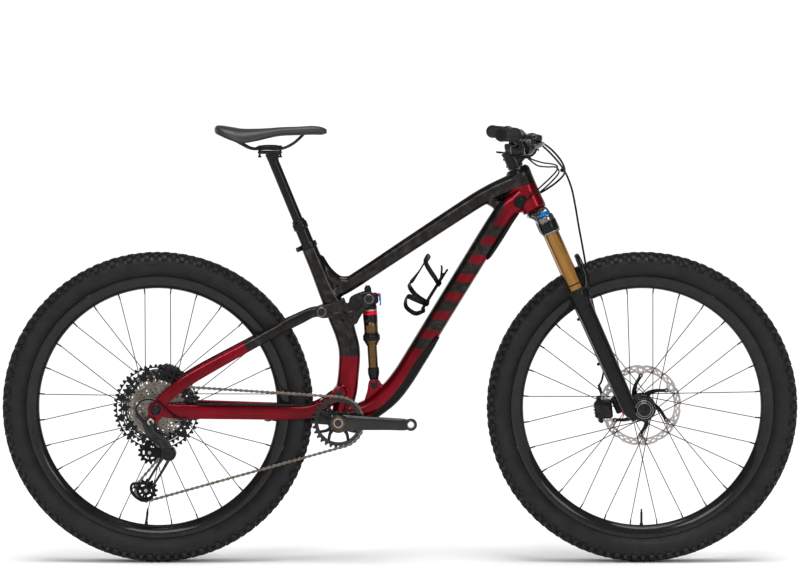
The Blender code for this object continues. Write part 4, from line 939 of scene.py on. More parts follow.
def rocker():
    outline = round_outline([(-203, 614), (-190, 622.5), (-163, 630), (-147, 635.5), (-136, 638.5),
        (-131.5, 628), (-125, 626), (-120, 640.5), (-100, 650.5), (-82, 655.5), (-68, 652.5), (-61, 641),
        (-67, 628), (-84, 613), (-97, 593), (-104, 580), (-115, 577.5), (-127, 582.5), (-140, 591),
        (-166, 594.5), (-190, 594)], 4)
    shapes = []
    for way in (-1, 1):
        y0, y1 = sorted((way * 32.9, way * 40.1))
        shapes.append(slab(outline, y0, y1, 1.2))
        for point, radius in ((STAY_PIVOT, 13.5), (ROCKER_PIVOT, 15), (SHOCK_TOP, 12.5)):
            shapes.append(rod(point + Y_AXIS * way * 33, point + Y_AXIS * way * 41.2, radius, sides=40))
        rib = [(side(x, z, way * 39.6), 2.2, 3.2) for x, z in ((-178, 606), (-158, 603), (-138, 606),
            (-124, 600))]
        shapes.append(loft(rib, 12))
        rib = [(side(x, z, way * 39.6), 2.2, 3.0) for x, z in ((-106, 606), (-92, 622), (-82, 632))]
        shapes.append(loft(rib, 12))
    tie = polar(ROCKER_PIVOT, 28, 58)
    shapes.append(rod(tie - Y_AXIS * 34, tie + Y_AXIS * 34, 6.0))
    item = piece("rocker_link", fused("rocker_skin", shapes, 1.1, 4), PAINT, "rocker", "rocker")
    set_split(item, np.full(len(item.data.vertices), 5.0))
    pins = [rod(STAY_PIVOT + Y_AXIS * y, STAY_PIVOT + Y_AXIS * (y + 10.5), 4.5) for y in (-33.5, 23)]
    pins.append(rod(SHOCK_TOP - Y_AXIS * 33.5, SHOCK_TOP + Y_AXIS * 33.5, 4.5))
    for point in (STAY_PIVOT, SHOCK_TOP):
        for way in (-1, 1):
            pins.append(lathe(point, Y_AXIS * way, [(3, 40.6), (9.6, 40.6), (9.6, 41.6), (8.6, 42.2),
                (3, 42.2)]))
            pins.append(bolt(point + Y_AXIS * way * 41.4, Y_AXIS * way, 7.2, 2.0))
    piece("link_bolts", merge(*pins), DARK, "rocker")
    rings = [ring_of(point, Y_AXIS * way, 9.4, 11.4, 40.8, 41.8, 40) for point in (STAY_PIVOT,
        SHOCK_TOP) for way in (-1, 1)]
    piece("link_bolt_rings", merge(*rings), POLISHED, "rocker")
    axle = [rod(ROCKER_PIVOT - Y_AXIS * 40.3, ROCKER_PIVOT + Y_AXIS * 40.3, 6.0)]
    for way in (-1, 1):
        axle.append(lathe(ROCKER_PIVOT, Y_AXIS * way, [(4, 41), (12, 41), (12.6, 42), (12, 43.4), (4, 43.4)]))
        axle.append(bolt(ROCKER_PIVOT + Y_AXIS * way * 42.6, Y_AXIS * way, 8.4, 2.2))
    piece("rocker_spindle", merge(*axle), DARK, "frame", "rocker_axle")


def shock_unit():
    body, lower = "shock_upper", "shock_lower"
    eye = rod(SHOCK_TOP - Y_AXIS * 12, SHOCK_TOP + Y_AXIS * 12, 14, sides=40)
    cap = box(shock(-17, -2), (17, 21, 22), SHOCK_FWD, Y_AXIS, 3)
    button = rod(shock(-27, -2), shock(-31, -2), 6)
    housing = box(shock(1, 12), (20, 24, 27), SHOCK_FWD, Y_AXIS, 4)
    neck = lathe(SHOCK_TOP, SHOCK_DOWN, [(1, 8), (13, 8), (17.4, 20), (17.4, 27), (1, 27)])
    mesh = fused("shock_head_skin", [eye, cap, housing, neck], 0.9, 4)
    piece("shock_head", mesh, BLACK, body, "shock_can")
    piece("shock_button", button, DARK, body)
    bands = (("shock_silver_ring", SILVER, 17.6, 27, 30.5), ("shock_red_band", RED, 17.5, 30.5, 40),
        ("shock_air_can", BLACK, 17.5, 40, 58), ("shock_inner_can", BRONZE, 17.0, 58, 84),
        ("shock_can_step", BLACK, 18.0, 84, 88))
    for name, mat, radius, start, end in bands:
        piece(name, lathe(SHOCK_TOP, SHOCK_DOWN, [(12.3, start), (radius - 0.3, start),
            (radius, start + 0.4), (radius, end - 0.4), (radius - 0.3, end), (12.3, end)], 56), mat, body)
    seal = lathe(SHOCK_TOP, SHOCK_DOWN, [(12.2, 88), (19.5, 88), (20.8, 90), (20.8, 101), (19.6, 103),
        (12.2, 103)], 56)
    grooves = [ring_of(SHOCK_TOP, SHOCK_DOWN, 19, 21.2, 92 + 3 * k, 93.6 + 3 * k, 56) for k in range(3)]
    piece("shock_seal_head", merge(seal, *grooves), BLACK, body)
    taper = lathe(SHOCK_TOP, SHOCK_DOWN, [(12.2, 103), (18.4, 103), (17.4, 107), (14.4, 111), (13.6, 114.5),
        (12.2, 114.5)], 56)
    piece("shock_taper", taper, BRONZE, body)
    shaft = lathe(SHOCK_TOP, SHOCK_DOWN, [(2, 100), (11.7, 100), (11.7, 171), (2, 171)], 56)
    piece("shock_piston", shaft, BRONZE, lower, "shock_shaft")
    piece("travel_ring", ring_of(SHOCK_TOP, SHOCK_DOWN, 11.7, 13.0, 167.7, 168.9, 48), RUBBER, lower)
    foot = merge(lathe(SHOCK_TOP, SHOCK_DOWN, [(2, 169), (13.2, 169), (14, 171), (14, 182), (12.2, 190),
        (10.4, 198), (9, 204), (2, 204)], 48), rod(SHOCK_FOOT - Y_AXIS * 11.8, SHOCK_FOOT + Y_AXIS * 11.8,
        12, sides=40))
    piece("shock_foot", fused("shock_foot_skin", [foot], 0.8, 3), BLACK, lower)
    piece("compression_dial", merge(rod(shock(-7, 21), shock(-7, 26.5), 4.2, 3.8),
        rod(shock(-7, 26), shock(-7, 27.5), 2.2)), RED, body)
    pivot = joint_point("shock_lever_turn")
    lever = [rod(pivot, pivot + SHOCK_FWD * 5.2, 6.0, 5.4)]
    lever.append(loft([(pivot + SHOCK_FWD * 3.4 - SHOCK_DOWN * 12, 3.4, 1.6),
        (pivot + SHOCK_FWD * 3.8 - SHOCK_DOWN * 4, 3.2, 1.8), (pivot + SHOCK_FWD * 3.4 + SHOCK_DOWN * 9,
        3.4, 1.8), (pivot + SHOCK_FWD * 2.6 + SHOCK_DOWN * 17, 4.2, 2.2)], 16, squareness=3))
    piece("shock_lever_skin", merge(*lever), BLUE, "shock_lever", "shock_lever")


# ----------------------------------------------------------- fork and cockpit

def fork():
    crown = [loft([(steer(478, LEG_OFFSET, -88), 12, 10), (steer(481, LEG_OFFSET, -80), 17, 15),
        (steer(487, LEG_OFFSET, -54), 19.5, 14.5), (steer(508, 8, -38), 22, 12.5),
        (steer(513, 2, -22), 24, 8.6), (steer(513, 0, 22), 24, 8.6), (steer(508, 8, 38), 22, 12.5),
        (steer(487, LEG_OFFSET, 54), 19.5, 14.5), (steer(481, LEG_OFFSET, 80), 17, 15),
        (steer(478, LEG_OFFSET, 88), 12, 10)], 36, across=STEER_FWD, squareness=2.8)]
    for y in (-LEG_Y, LEG_Y):
        crown.append(lathe(steer(0, LEG_OFFSET, y), STEER_UP, [(18.3, 456), (21.4, 456), (22.2, 458),
            (22.2, 476), (21.6, 498), (20, 502.6), (1, 503)], 48, solid=True))
    mesh = fused("crown_skin", crown, 1.4, 5)
    piece("crown_body", mesh, POLISHED, "steering", "fork_crown")
    for tag, y in (("right", -LEG_Y), ("left", LEG_Y)):
        foot = steer(0, LEG_OFFSET, y)
        sleeve = lathe(foot, STEER_UP, [(18.3, 461), (22.4, 461), (22.9, 463), (22.9, 486), (22.2, 488),
            (18.3, 488)], 56)
        piece("crown_sleeve_" + tag, sleeve, BLACK, "steering")
        piece("crown_lip_" + tag, ring_of(foot, STEER_UP, 18.2, 22.6, 460.5, 464.5, 56), SILVER, "steering")
        tube = lathe(foot, STEER_UP, [(15.4, 180), (17.6, 180), (18, 180.6), (18, 494), (15.4, 494.6)], 64)
        piece("stanchion_tube_" + tag, tube, GOLD, "steering", "stanchion_" + tag)
        piece("travel_band_" + tag, ring_of(foot, STEER_UP, 17.9, 19.2, 322, 325, 48), RUBBER, "steering")
    ring = lathe(steer(0, LEG_OFFSET, LEG_Y), STEER_UP, [(8, 503), (15, 503), (15, 505.5), (13.5, 507),
        (8, 507)], 40)
    piece("air_cap", merge(ring, rod(steer(506, LEG_OFFSET, LEG_Y), steer(509, LEG_OFFSET, LEG_Y), 8)),
        DARK, "steering")
    foot = steer(0, LEG_OFFSET, -LEG_Y)
    dial = [lathe(foot, STEER_UP, [(3, 503.4), (15.6, 503.4), (16, 505), (15, 507.6), (3, 508)], 48)]
    for k in range(18):
        way = STEER_FWD * math.cos(k * math.pi / 9) + Y_AXIS * math.sin(k * math.pi / 9)
        dial.append(box(foot + STEER_UP * 505.6 + way * 15.6, (1.2, 1.6, 3.4), way, STEER_UP.cross(way), 0.3))
    dial.append(loft([(steer(509, LEG_OFFSET - 6, -LEG_Y), 2.6, 1.6),
        (steer(509.6, LEG_OFFSET + 4, -LEG_Y), 2.6, 2.4), (steer(509.4, LEG_OFFSET + 12.4, -LEG_Y), 2.2,
        2.0)], 16, squareness=3))
    piece("dial_ring", merge(*dial), BLUE, "fork_dial", "fork_dial")


def fork_lower_leg():
    shapes = []
    for way in (-1, 1):
        y = way * LEG_Y
        shapes.append(loft([(steer(-36, LEG_OFFSET, y), 7.4, 7.4), (steer(-26, LEG_OFFSET, y), 9, 9),
            (steer(-16, LEG_OFFSET, y), 15.4, 15.4), (steer(10, LEG_OFFSET, y), 18.4, 18.4),
            (steer(120, LEG_OFFSET, y), 19.4, 19.4), (steer(250, LEG_OFFSET, y), 20.4, 20.4),
            (steer(282, LEG_OFFSET, y), 21.2, 21.2)], 40, steps=5))
        shapes.append(lathe(steer(0, LEG_OFFSET, y), STEER_UP, [(1, 272), (21.4, 272), (22.6, 280),
            (23.2, 286), (23.2, 300), (22.2, 305), (18.2, 306)], 48, solid=True))
        shapes.append(rod(FRONT_AXLE + Y_AXIS * way * 55.3, FRONT_AXLE + Y_AXIS * way * 84, 15.6, sides=40))
        shapes.append(lathe(FRONT_AXLE, Y_AXIS * way, [(1, 59), (25, 59), (27.5, 62), (27.5, 76),
            (25, 79.5), (1, 79.5)], 56, solid=True))
    shapes.append(loft([(steer(284, 24, -67), 11, 9), (steer(304, 37, -63), 8.5, 8),
        (steer(330, 47, -56), 6.4, 6.8), (steer(356, 48, -46), 6.2, 6.6), (steer(372, 48, -28), 6.2, 6.2),
        (steer(378, 48, 0), 6.4, 6.2), (steer(372, 48, 28), 6.2, 6.2), (steer(356, 48, 46), 6.2, 6.6),
        (steer(330, 47, 56), 6.4, 6.8), (steer(304, 37, 63), 8.5, 8), (steer(284, 24, 67), 11, 9)], 28,
        across=STEER_FWD, squareness=2.8))
    shapes.append(box(steer(2, -8, 67.5), (18, 12, 44), STEER_FWD, Y_AXIS, 3))
    piece("lower_casting", fused("casting_skin", shapes, 1.6, 5), BLACK, "fork_lowers", "fork_lowers")
    seals = [ring_of(steer(0, LEG_OFFSET, y), STEER_UP, 18.1, 21.6, 305, 309.5, 56) for y in (-LEG_Y, LEG_Y)]
    piece("dust_seals", merge(*seals), RUBBER, "fork_lowers")
    piece("rebound_knob", rod((545, -70, 371), (533, -70, 366), 3.6), RED, "fork_lowers")
    rings = [ring_of(FRONT_AXLE, Y_AXIS * way, inner, outer, 79, level, 56) for way in (-1, 1)
        for inner, outer, level in ((20.5, 22.5, 80.6), (14.4, 17.4, 82.4))]
    piece("dropout_rings", merge(*rings), POLISHED, "fork_lowers")
    caps = []
    for way in (-1, 1):
        caps.append(lathe(FRONT_AXLE, Y_AXIS * way, [(3, 82), (13.6, 82), (13.6, 84.6), (11.8, 84.8),
            (11.6, 86.4), (9, 86.6), (3, 86.6)], 48))
        caps.append(bolt(FRONT_AXLE + Y_AXIS * way * 85.8, Y_AXIS * way, 6.6, 2.2))
    axle = merge(rod(FRONT_AXLE - Y_AXIS * 84, FRONT_AXLE + Y_AXIS * 84, 7.5), *caps)
    piece("front_spindle", axle, DARK, "fork_lowers", "front_axle")
    clips = [box(steer(s, -8, 80), (9, 8, 7), STEER_FWD, Y_AXIS, 1.6) for s in (110, 230)]
    piece("hose_guides", merge(*clips), PLASTIC, "fork_lowers")


def caliper(name, axle, degrees, rotor_r, y, body):
    radial = polar(Vector(), 1, degrees)
    across = radial.cross(Y_AXIS)

    def place(r, t=0.0, dy=0.0):
        return axle + radial * r + across * t + Y_AXIS * (y + dy)

    shapes = []
    for way in (-1, 1):
        shapes.append(box(place(rotor_r - 12, 0, way * 9.6), (40, 14, 46), radial, Y_AXIS, 4))
        shapes.append(rod(place(rotor_r - 14, 0, way * 8), place(rotor_r - 14, 0, way * 17.4), 13, 12))
    shapes.append(box(place(rotor_r + 5), (12, 30, 40), radial, Y_AXIS, 3))
    for t in (-27, 27):
        shapes.append(rod(place(rotor_r - 2, t, 4), place(rotor_r - 2, t, 14), 6.5))
    piece(name + "_shell", fused(name + "_skin", shapes, 1.0, 4), DARK, body, name)
    fins = [box(place(rotor_r + 10.8 - 2 * abs(k) * 0.4, k * 7.5), (6, 24, 2.4), radial, Y_AXIS, 0.5)
        for k in range(-2, 3)]
    piece(name + "_fins", merge(*fins), POLISHED, body)
    extras = [bolt(place(rotor_r - 2, t, -16.5), -Y_AXIS, 5, 3.5) for t in (-27, 27)]
    extras.append(rod(place(rotor_r - 6, 20, 9), place(rotor_r - 2, 33, 9), 5.6, 4.4))
    extras.append(bolt(place(rotor_r - 14, 0, 17.2), Y_AXIS, 9.0, 2.0))
    piece(name + "_bolts", merge(*extras), BLACK, body)


def housing_barrels():
    """Barrels that carry the shift and dropper housings into their lever bodies."""
    parts = []
    for way in (-1, 1):
        outer, inner = Vector((290, way * 204, 991)), Vector((286, way * 236, 993))
        parts += [rod(outer, outer.lerp(inner, 0.35), 3.4), rod(outer.lerp(inner, 0.3), inner, 5.2)]
    piece("housing_barrels", merge(*parts), DARK, "steering")


def caliper_fitting():
    """The short banjo between the end of the front hose and its caliper."""
    top, low = Vector((484, 66, 424)), Vector((493, 61, 396))
    parts = [rod(top, top.lerp(low, 0.3), 3.3), rod(top.lerp(low, 0.25), top.lerp(low, 0.5), 4.6, 4.6, 6),
        rod(top.lerp(low, 0.45), low, 3.6), rod(low + Y_AXIS * 8, low - Y_AXIS * 6, 6.4, 6.4)]
    piece("front_hose_fitting", merge(*parts), DARK, "fork_lowers")


def cockpit():
    clamp = steer(665, 45)
    body = [loft([(steer(652, 0), 17, 17), (steer(655, 14), 17.4, 16.5), (steer(660, 30), 18.5, 15),
        (clamp, 20.5, 15.5)], 36, squareness=3.2), lathe(steer(0), STEER_UP,
        [(1, 632.5), (18.4, 632.5), (19, 634), (19, 673), (17.6, 675), (1, 675)], 56, solid=True),
        rod(clamp - Y_AXIS * 26, clamp + Y_AXIS * 26, 22.6, sides=48)]
    piece("stem_body", fused("stem_skin", body, 1.3, 4), BLACK, "steering", "stem")
    screws = [bolt(clamp + STEER_FWD * 19.5 + STEER_UP * up + Y_AXIS * y, STEER_FWD, 3.6, 3.4)
        for up in (-13.5, 13.5) for y in (-17, 17)]
    screws += [bolt(steer(s, -17.6, 9), Y_AXIS, 3.4, 3) for s in (643, 662)]
    screws.append(lathe(steer(0), STEER_UP, [(2, 675), (16.6, 675), (16, 678), (11, 679.6), (2, 680)], 48))
    screws.append(bolt(steer(679), STEER_UP, 5, 2.2))
    piece("stem_screws", merge(*screws), DARK, "steering")
    piece("stem_gap", box(clamp + STEER_FWD * 3.5, (0.8, 52.4, 46), STEER_FWD, Y_AXIS, 0.2), DARK, "steering")

    right = [((307.4, 0, 1001.8), 17.4, 17.4), ((307.4, -36, 1001.8), 17.4, 17.4),
        ((305, -60, 1007), 15.5, 15.5), ((300, -85, 1020), 12.5, 12.5), ((295, -112, 1029), 11, 11),
        ((288, -160, 1032), 11, 11), (bar_point(-255), 11, 11), (bar_point(-388), 11, 11)]
    left = [((p[0], -p[1], p[2]), a, b) for p, a, b in right]
    bar = loft(list(reversed(right)) + left[1:], 40, across=Z_AXIS, steps=5)
    piece("bar_tube", bar, BLACK, "steering", "handlebar")
    for tag, way in (("right", -1), ("left", 1)):
        inner, outer = bar_point(way * 257), bar_point(way * 390)
        along = (outer - inner).normalized()
        length = (outer - inner).length
        profile = [(11.3, 0), (16.6, 0), (17.0, 1), (17.0, 8.6), (16.4, 9.4), (14.6, 10.4)]
        edge = 13.0
        while edge < length - 9:
            profile += [(14.4, edge), (15.6, edge + 0.5), (15.6, edge + 1.9), (14.4, edge + 2.4)]
            edge += 3.3
        profile += [(15.8, length - 6), (16.3, length - 5), (16.3, length + 0.6), (15.4, length + 1.5),
            (11.3, length + 1.5)]
        piece("ribbed_grip_" + tag, lathe(inner, along, profile, 56), RUBBER, "steering", "grip_" + tag)
        piece("grip_collar_" + tag, merge(ring_of(inner, along, 15, 17.8, 1.6, 8, 56),
            bolt(inner + along * 5 - Z_AXIS * 16.6, -Z_AXIS, 2.6, 2)), DARK, "steering")
        piece("grip_plug_" + tag, lathe(outer, along, [(1, -0.6), (11.4, -0.6), (11, 1.1), (6, 1.5),
            (1, 1.5)], 40), PLASTIC, "steering")


def bar_point(y):
    t = (abs(y) - 255) / 135
    return Vector((269 - 36 * t, y, 1035 + 2.5 * t))


def bar_slope(y):
    """The bar's point and direction at the controls, inboard of the grips."""
    t = (abs(y) - 160) / 95
    start, end = Vector((288, math.copysign(160, y), 1032)), bar_point(math.copysign(255, y))
    return start.lerp(end, t), (end - start).normalized()


def controls():
    for tag, way in (("right", -1), ("left", 1)):
        centre, along = bar_slope(way * 206)
        shapes = [lathe(centre, along, [(11.4, -6.4), (15.4, -6.4), (16, -5), (16, 5), (15.4, 6.4),
            (11.4, 6.4)], 40), box(centre + Vector((21, 0, -3)), (20, 11.5, 12), edge=2.5),
            rod((322, way * 139, 1022), (316, way * 221, 1018), 9.8),
            loft([((324, way * 148, 1028), 9, 5.5), ((324, way * 156, 1028.5), 12, 7.4),
            ((323, way * 186, 1027), 12, 7.4), ((321, way * 196, 1025), 8, 5.5)], 28, across=X_AXIS,
            squareness=3.4)]
        shapes += [rod((325, way * 226, z0), (325, way * 226, z1), 8.4) for z0,
            z1 in ((1009, 1012.4), (1021.6, 1025))]
        shapes += [loft([((316, way * 212, z), 7, 1.9), ((325, way * 226, z), 8, 1.9)], 16,
            across=X_AXIS) for z in (1010.8, 1023.2)]
        piece("lever_housing_" + tag, fused("housing_skin_" + tag, shapes, 1.0, 4), DARK, "steering",
            "brake_body_" + tag)
        lid = [bolt((324, way * y, 1035), Z_AXIS, 2.2, 1.6) for y in (156, 187)]
        lid.append(rod((325, way * 226, 1008), (325, way * 226, 1026.4), 3.2))
        lid.append(rod((325, way * 131.5, 1020), (322.4, way * 140, 1022), 4.2, 4.8))
        piece("lever_hardware_" + tag, merge(*lid), BLACK, "steering")
        blade = loft([((323, way * 224, 1017), 6.4, 3.9), ((332, way * 238, 1016.4), 5.4, 3.9),
            ((332, way * 256, 1014.6), 4.6, 4.2), ((326, way * 286, 1012), 4.8, 4.6),
            ((316, way * 316, 1010), 5.2, 5.0), ((307, way * 340, 1008.4), 5.4, 5.2),
            ((306, way * 349, 1008), 6.0, 5.8), ((308, way * 354, 1008), 4.2, 4.2)], 28, across=X_AXIS,
            squareness=2.6)
        hub = rod((325, way * 226, 1013), (325, way * 226, 1021), 6.6)
        piece("lever_blade_" + tag, fused("blade_skin_" + tag, [blade, hub], 0.8, 3), DARK,
            "brake_lever_" + tag, "brake_lever_" + tag)

    for node, way, lever in (("shifter_body", -1, "shift_lever"), ("dropper_remote_body", 1,
            "dropper_lever")):
        centre, along = bar_slope(way * 234)
        inboard = Vector((2, way * -4, 0))
        shapes = [lathe(centre, along, [(11.4, -6), (15, -6), (15.6, -5), (15.6, 5), (15, 6), (11.4, 6)],
            40), box(centre + Vector((4, way * 2, -20)), (15, 11, 18), edge=2.5),
            lathe(centre + inboard, -Z_AXIS, [(1, 25.6), (15, 25.6), (17, 28), (17.2, 34), (15.6, 42),
            (13, 44), (1, 44)], 48, solid=True)]
        piece(node + "_shell", fused(node + "_skin", shapes, 1.0, 4), DARK, "steering", node)
        spot = centre + inboard
        piece(node + "_screw", merge(bolt(centre + Vector((12, way * 2, -8)), X_AXIS, 3.2, 3),
            rod(spot + Vector((10, way * -8, -36)), spot + Vector((17, way * -14, -36)), 3.6)), BLACK,
            "steering")
        pivot = spot - Z_AXIS * 44.6
        hub = rod(pivot, pivot - Z_AXIS * 5, 9)
        thumb = loft([(pivot + Vector((-1, 0, -3)), 6.4, 1.9), (pivot + Vector((-16, 0, -3)), 5.6, 2.2),
            (pivot + Vector((-27, way * -1, -2.6)), 7.6, 2.6), (pivot + Vector((-36, way * -3, -1.6)), 7.2,
            2.4)], 24, squareness=3)
        piece(lever + "_paddle", merge(hub, thumb, bolt(pivot - Z_AXIS * 4.9, -Z_AXIS, 4.2, 1.2)) , PLASTIC,
            lever, lever)
        if way < 0:
            pivot = joint_point("release_lever_pull")
            hub = rod(pivot, pivot - Z_AXIS * 3.6, 8)
            trigger = loft([(pivot + Vector((0, 0, -1.8)), 5.4, 1.6),
                (pivot + Vector((14, -4, -2)), 4.4, 1.6), (pivot + Vector((24, -11, -2)), 5.6, 2.2),
                (pivot + Vector((28, -15, -2)), 4.6, 1.8)], 24, squareness=3)
            piece("release_trigger", merge(hub, trigger), PLASTIC, "release_lever", "release_lever")


# --------------------------------------------------------------------- cables

def hose(name, route, radius, first, second, start, end, *nodes):
    """A hose that runs between two bodies; it has no parent."""
    shape = pipe(route, radius, 14, 9)
    item = piece(name, shape, HOSE, None, *nodes)
    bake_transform(item)


def cables():
    rear = [(322.5, -138.6, 1022), (334, -122, 1018), (362, -92, 998), (388, -50, 968), (396, -6, 942),
        (380, 26, 920), (350, 42, 898), (326, 44, 886)]
    front = [(322.5, 138.6, 1022), (334, 122, 1016), (366, 88, 988), (396, 52, 950), (414, 36, 908),
        (424, 30, 862), (432, 33, 816), (441, 40, 770), (450, 48, 722), (462, 96, 660), (476, 101, 600),
        (492, 100, 540), (500, 98, 480), (494, 88, 436), (484, 66, 421)]
    shift = [(290, -208, 991), (306, -186, 976), (326, -146, 962), (350, -96, 958), (374, -50, 956),
        (382, -8, 942), (364, 18, 918), (336, 31, 892), (314, 33, 872)]
    dropper = [(290, 208, 991), (318, 180, 974), (348, 126, 964), (368, 72, 962), (379, 24, 958),
        (377, -14, 948), (360, -34, 930), (336, -42, 908), (314, -40, 886), (301, -34, 874)]
    hose("rear_brake_line", rear, 2.5, "steering", "frame", rear[2], rear[7], "hose_rear_brake")
    hose("front_brake_line", front, 2.5, "steering", "fork_lowers", front[4], front[13], "hose_front_brake")
    hose("shift_line", shift, 2.0, "steering", "frame", shift[3], shift[8], "housing_shift")
    hose("dropper_line", dropper, 2.0, "steering", "frame", dropper[3], dropper[9], "housing_dropper")
    loop = [(-512, -84, 352), (-530, -86, 355), (-549, -93, 368), (-577, -98, 395), (-601, -100, 403),
        (-621, -99, 396), (-631, -97, 382), (-629, -96.3, 367)]
    piece("derailleur_line", pipe(loop, 2.0, 14, 9), HOSE, "seatstays", "housing_derailleur")
    ends = merge(rod((-630.6, -96.6, 376), (-628.6, -96.2, 365), 3.0),
        rod((-510, -83.8, 351.6), (-520, -84.8, 353), 3.0))
    piece("line_ferrules", ends, DARK, "seatstays")
    piece("line_clip", box((392, 0, 948), (12, 13, 9), edge=2), PLASTIC, "steering")


# ------------------------------------------------------------------ drivetrain

def pitch_radius(teeth):
    return teeth * PITCH / (2 * math.pi)


def cog(centre, y, thick, teeth, inner, rows=8, hole=None, tall=3.2, phase=0.0):
    """A toothed plate."""
    middle = pitch_radius(teeth)

    def outer(turn):
        wave = 0.5 + 0.5 * math.cos(teeth * turn + phase)
        return middle - 3.6 + (3.6 + tall) * min(1.0, 1.25 * wave ** 1.3)

    return polar_plate(centre, y, thick, lambda turn: inner, outer, teeth * 12, rows, hole, middle - 3.7)


def cassette():
    big, small = [], []
    for k, teeth in enumerate(CASSETTE_TEETH):
        y = FIRST_COG_Y - k * COG_STEP
        radius = pitch_radius(teeth)
        inner = max(15.5, radius - 22)
        spans = max(6, teeth // 4)

        def window(turn, share, spans=spans):
            return 0.12 < share < 0.70 and spaced(turn, spans, 0.37)

        plate = cog(REAR_AXLE, y, 1.7, teeth, inner, 8, window if k < 8 else None, 3.0, 0.5 * k)
        (big if k < 3 else small).append(plate)
    arms = []
    for k in range(6):
        turn = 60 * k + 12
        route = [(polar(REAR_AXLE, r, turn + twist, y), wide, 2.0) for r, twist, y,
            wide in ((16, 0, -34, 8), (40, 9, -32, 6), (68, 16, -31, 5), (88, 20, -30.6, 4.5))]
        arms.append(loft(route, 16, across=polar(Vector(), 1, turn + 98), squareness=4))
    core = lathe(REAR_AXLE, Y_AXIS, [(10.4, -27.6), (17, -27.6), (17, -68), (13, -71.2), (10.4, -71.2)], 40)
    piece("cogs_large", merge(*big, *arms), BLACK, "cassette", "cassette", angle=30)
    piece("cogs_small", merge(*small, core), COG, "cassette", "cassette", angle=30)
    lock = lathe(REAR_AXLE, -Y_AXIS, [(10.4, 70.6), (15.2, 70.6), (15.2, 72.2), (14, 73), (10.4, 73)], 40)
    piece("lock_ring", lock, DARK, "cassette")


def cranks():
    for tag, way in (("right", -1), ("left", 1)):
        fore = -way
        start = BB.copy()
        end = BB + Vector((CRANK_LENGTH * fore, 0, -3.5 * fore))

        def spot(x, y, z=0.0):
            return start + Vector((x * fore, y * way, z * fore))

        near, mid, far, tip = ((71, 73, 78, 81) if way < 0 else (72, 74, 79, 82))
        shapes = [loft([(spot(-8, near), 7.4, 16), (spot(8, near), 8.4, 20.5), (spot(40, mid, 0), 7.8, 18),
            (spot(80, (mid + far) / 2, -1), 7.2, 16.4), (spot(125, far, -2.2), 6.8, 15),
            (spot(152, tip, -3.1), 6.6, 14.6), (spot(163.5, tip, -3.4), 6.6, 13.6)], 36, squareness=3.4,
            steps=5)]
        boss_start, boss_r = (60.4, 20.6) if way < 0 else (62.3, 19)
        shapes.append(rod(BB + Y_AXIS * way * boss_start, BB + Y_AXIS * way * 82, boss_r, sides=48))
        shapes.append(lathe(end, Y_AXIS * way, [(7.1, tip - 6.5), (14.4, tip - 6.5), (15, tip - 5.6),
            (15, tip + 5.6), (14.4, tip + 6.5), (7.1, tip + 6.5)], 48))
        mesh = fused("arm_skin_" + tag, shapes, 1.2, 4)
        piece("crank_arm_" + tag, mesh, GLOSSY, "crankset", "crank_" + tag)
        eye = ring_of(end, Y_AXIS * way, 7.0, 9.4, tip + 5.9, tip + 6.9, 48)
        piece("pedal_eye_" + tag, eye, POLISHED, "crankset")
    spindle = lathe(BB, -Y_AXIS, [(9, -62), (12, -62), (12, 60), (12, 81.6), (11, 82.4), (9, 82.4)], 48)
    piece("crank_spindle", spindle, SILVER, "crankset")
    piece("spindle_bore", lathe(BB, -Y_AXIS, [(0.5, 74), (9.1, 74), (9.1, 76), (0.5, 76)], 40), PLASTIC,
        "crankset")
    piece("spindle_ring", ring_of(BB, -Y_AXIS, 12, 15.6, 81, 83.6, 56), BRONZE, "crankset")
    cover = lathe(BB, Y_AXIS, [(2, 80.6), (12, 80.6), (13.6, 81.6), (13.6, 83.4), (11, 84.6), (2, 84.6)], 48)
    piece("crank_cap_left", merge(cover, bolt(BB + Y_AXIS * 83.6, Y_AXIS, 6, 1.8)), DARK, "crankset")

    ring = cog(BB, RING_Y, 2.6, RING_TEETH, 48.5, 3, None, 3.4)
    piece("ring_teeth", ring, GLOSSY, "crankset", "chainring", angle=30)
    arms = []
    for k in range(4):
        for swing in (-9, 9):
            turn = 90 * k + 45 + swing
            arms.append(loft([(polar(BB, 18, turn, RING_Y - 2), 6, 2.6),
                (polar(BB, 34, turn, RING_Y - 1), 4.0, 1.9), (polar(BB, 50, turn + swing * 0.9,
                RING_Y), 3.6, 1.5)], 16, across=polar(Vector(), 1, turn + 90), squareness=3.4))
    arms.append(ring_of(BB, Y_AXIS, 15.3, 26, RING_Y - 5.4, RING_Y + 1.4, 56))
    piece("ring_spider", merge(*arms), BLACK, "crankset")
    screws = [bolt(polar(BB, 20.5, 90 * k + 45, RING_Y - 5.2), -Y_AXIS, 2.6, 1.6) for k in range(4)]
    piece("ring_screws", merge(*screws), SILVER, "crankset")
    shell = [lathe(BB, Y_AXIS * way, [(12.6, 46.4), (22.4, 46.4), (22.6, 47), (22.6, 49), (20.4, 49.2),
        (12.6, 49.2)], 56) for way in (-1, 1)]
    for way in (-1, 1):
        for k in range(16):
            shell.append(box(polar(BB, 22.4, k * 22.5, way * 47.8), (1.6, 2.6, 3.0),
                polar(Vector(), 1, k * 22.5), Y_AXIS, 0.3))
    piece("bracket_cups", merge(*shell), BLACK, "frame", "bottom_bracket")


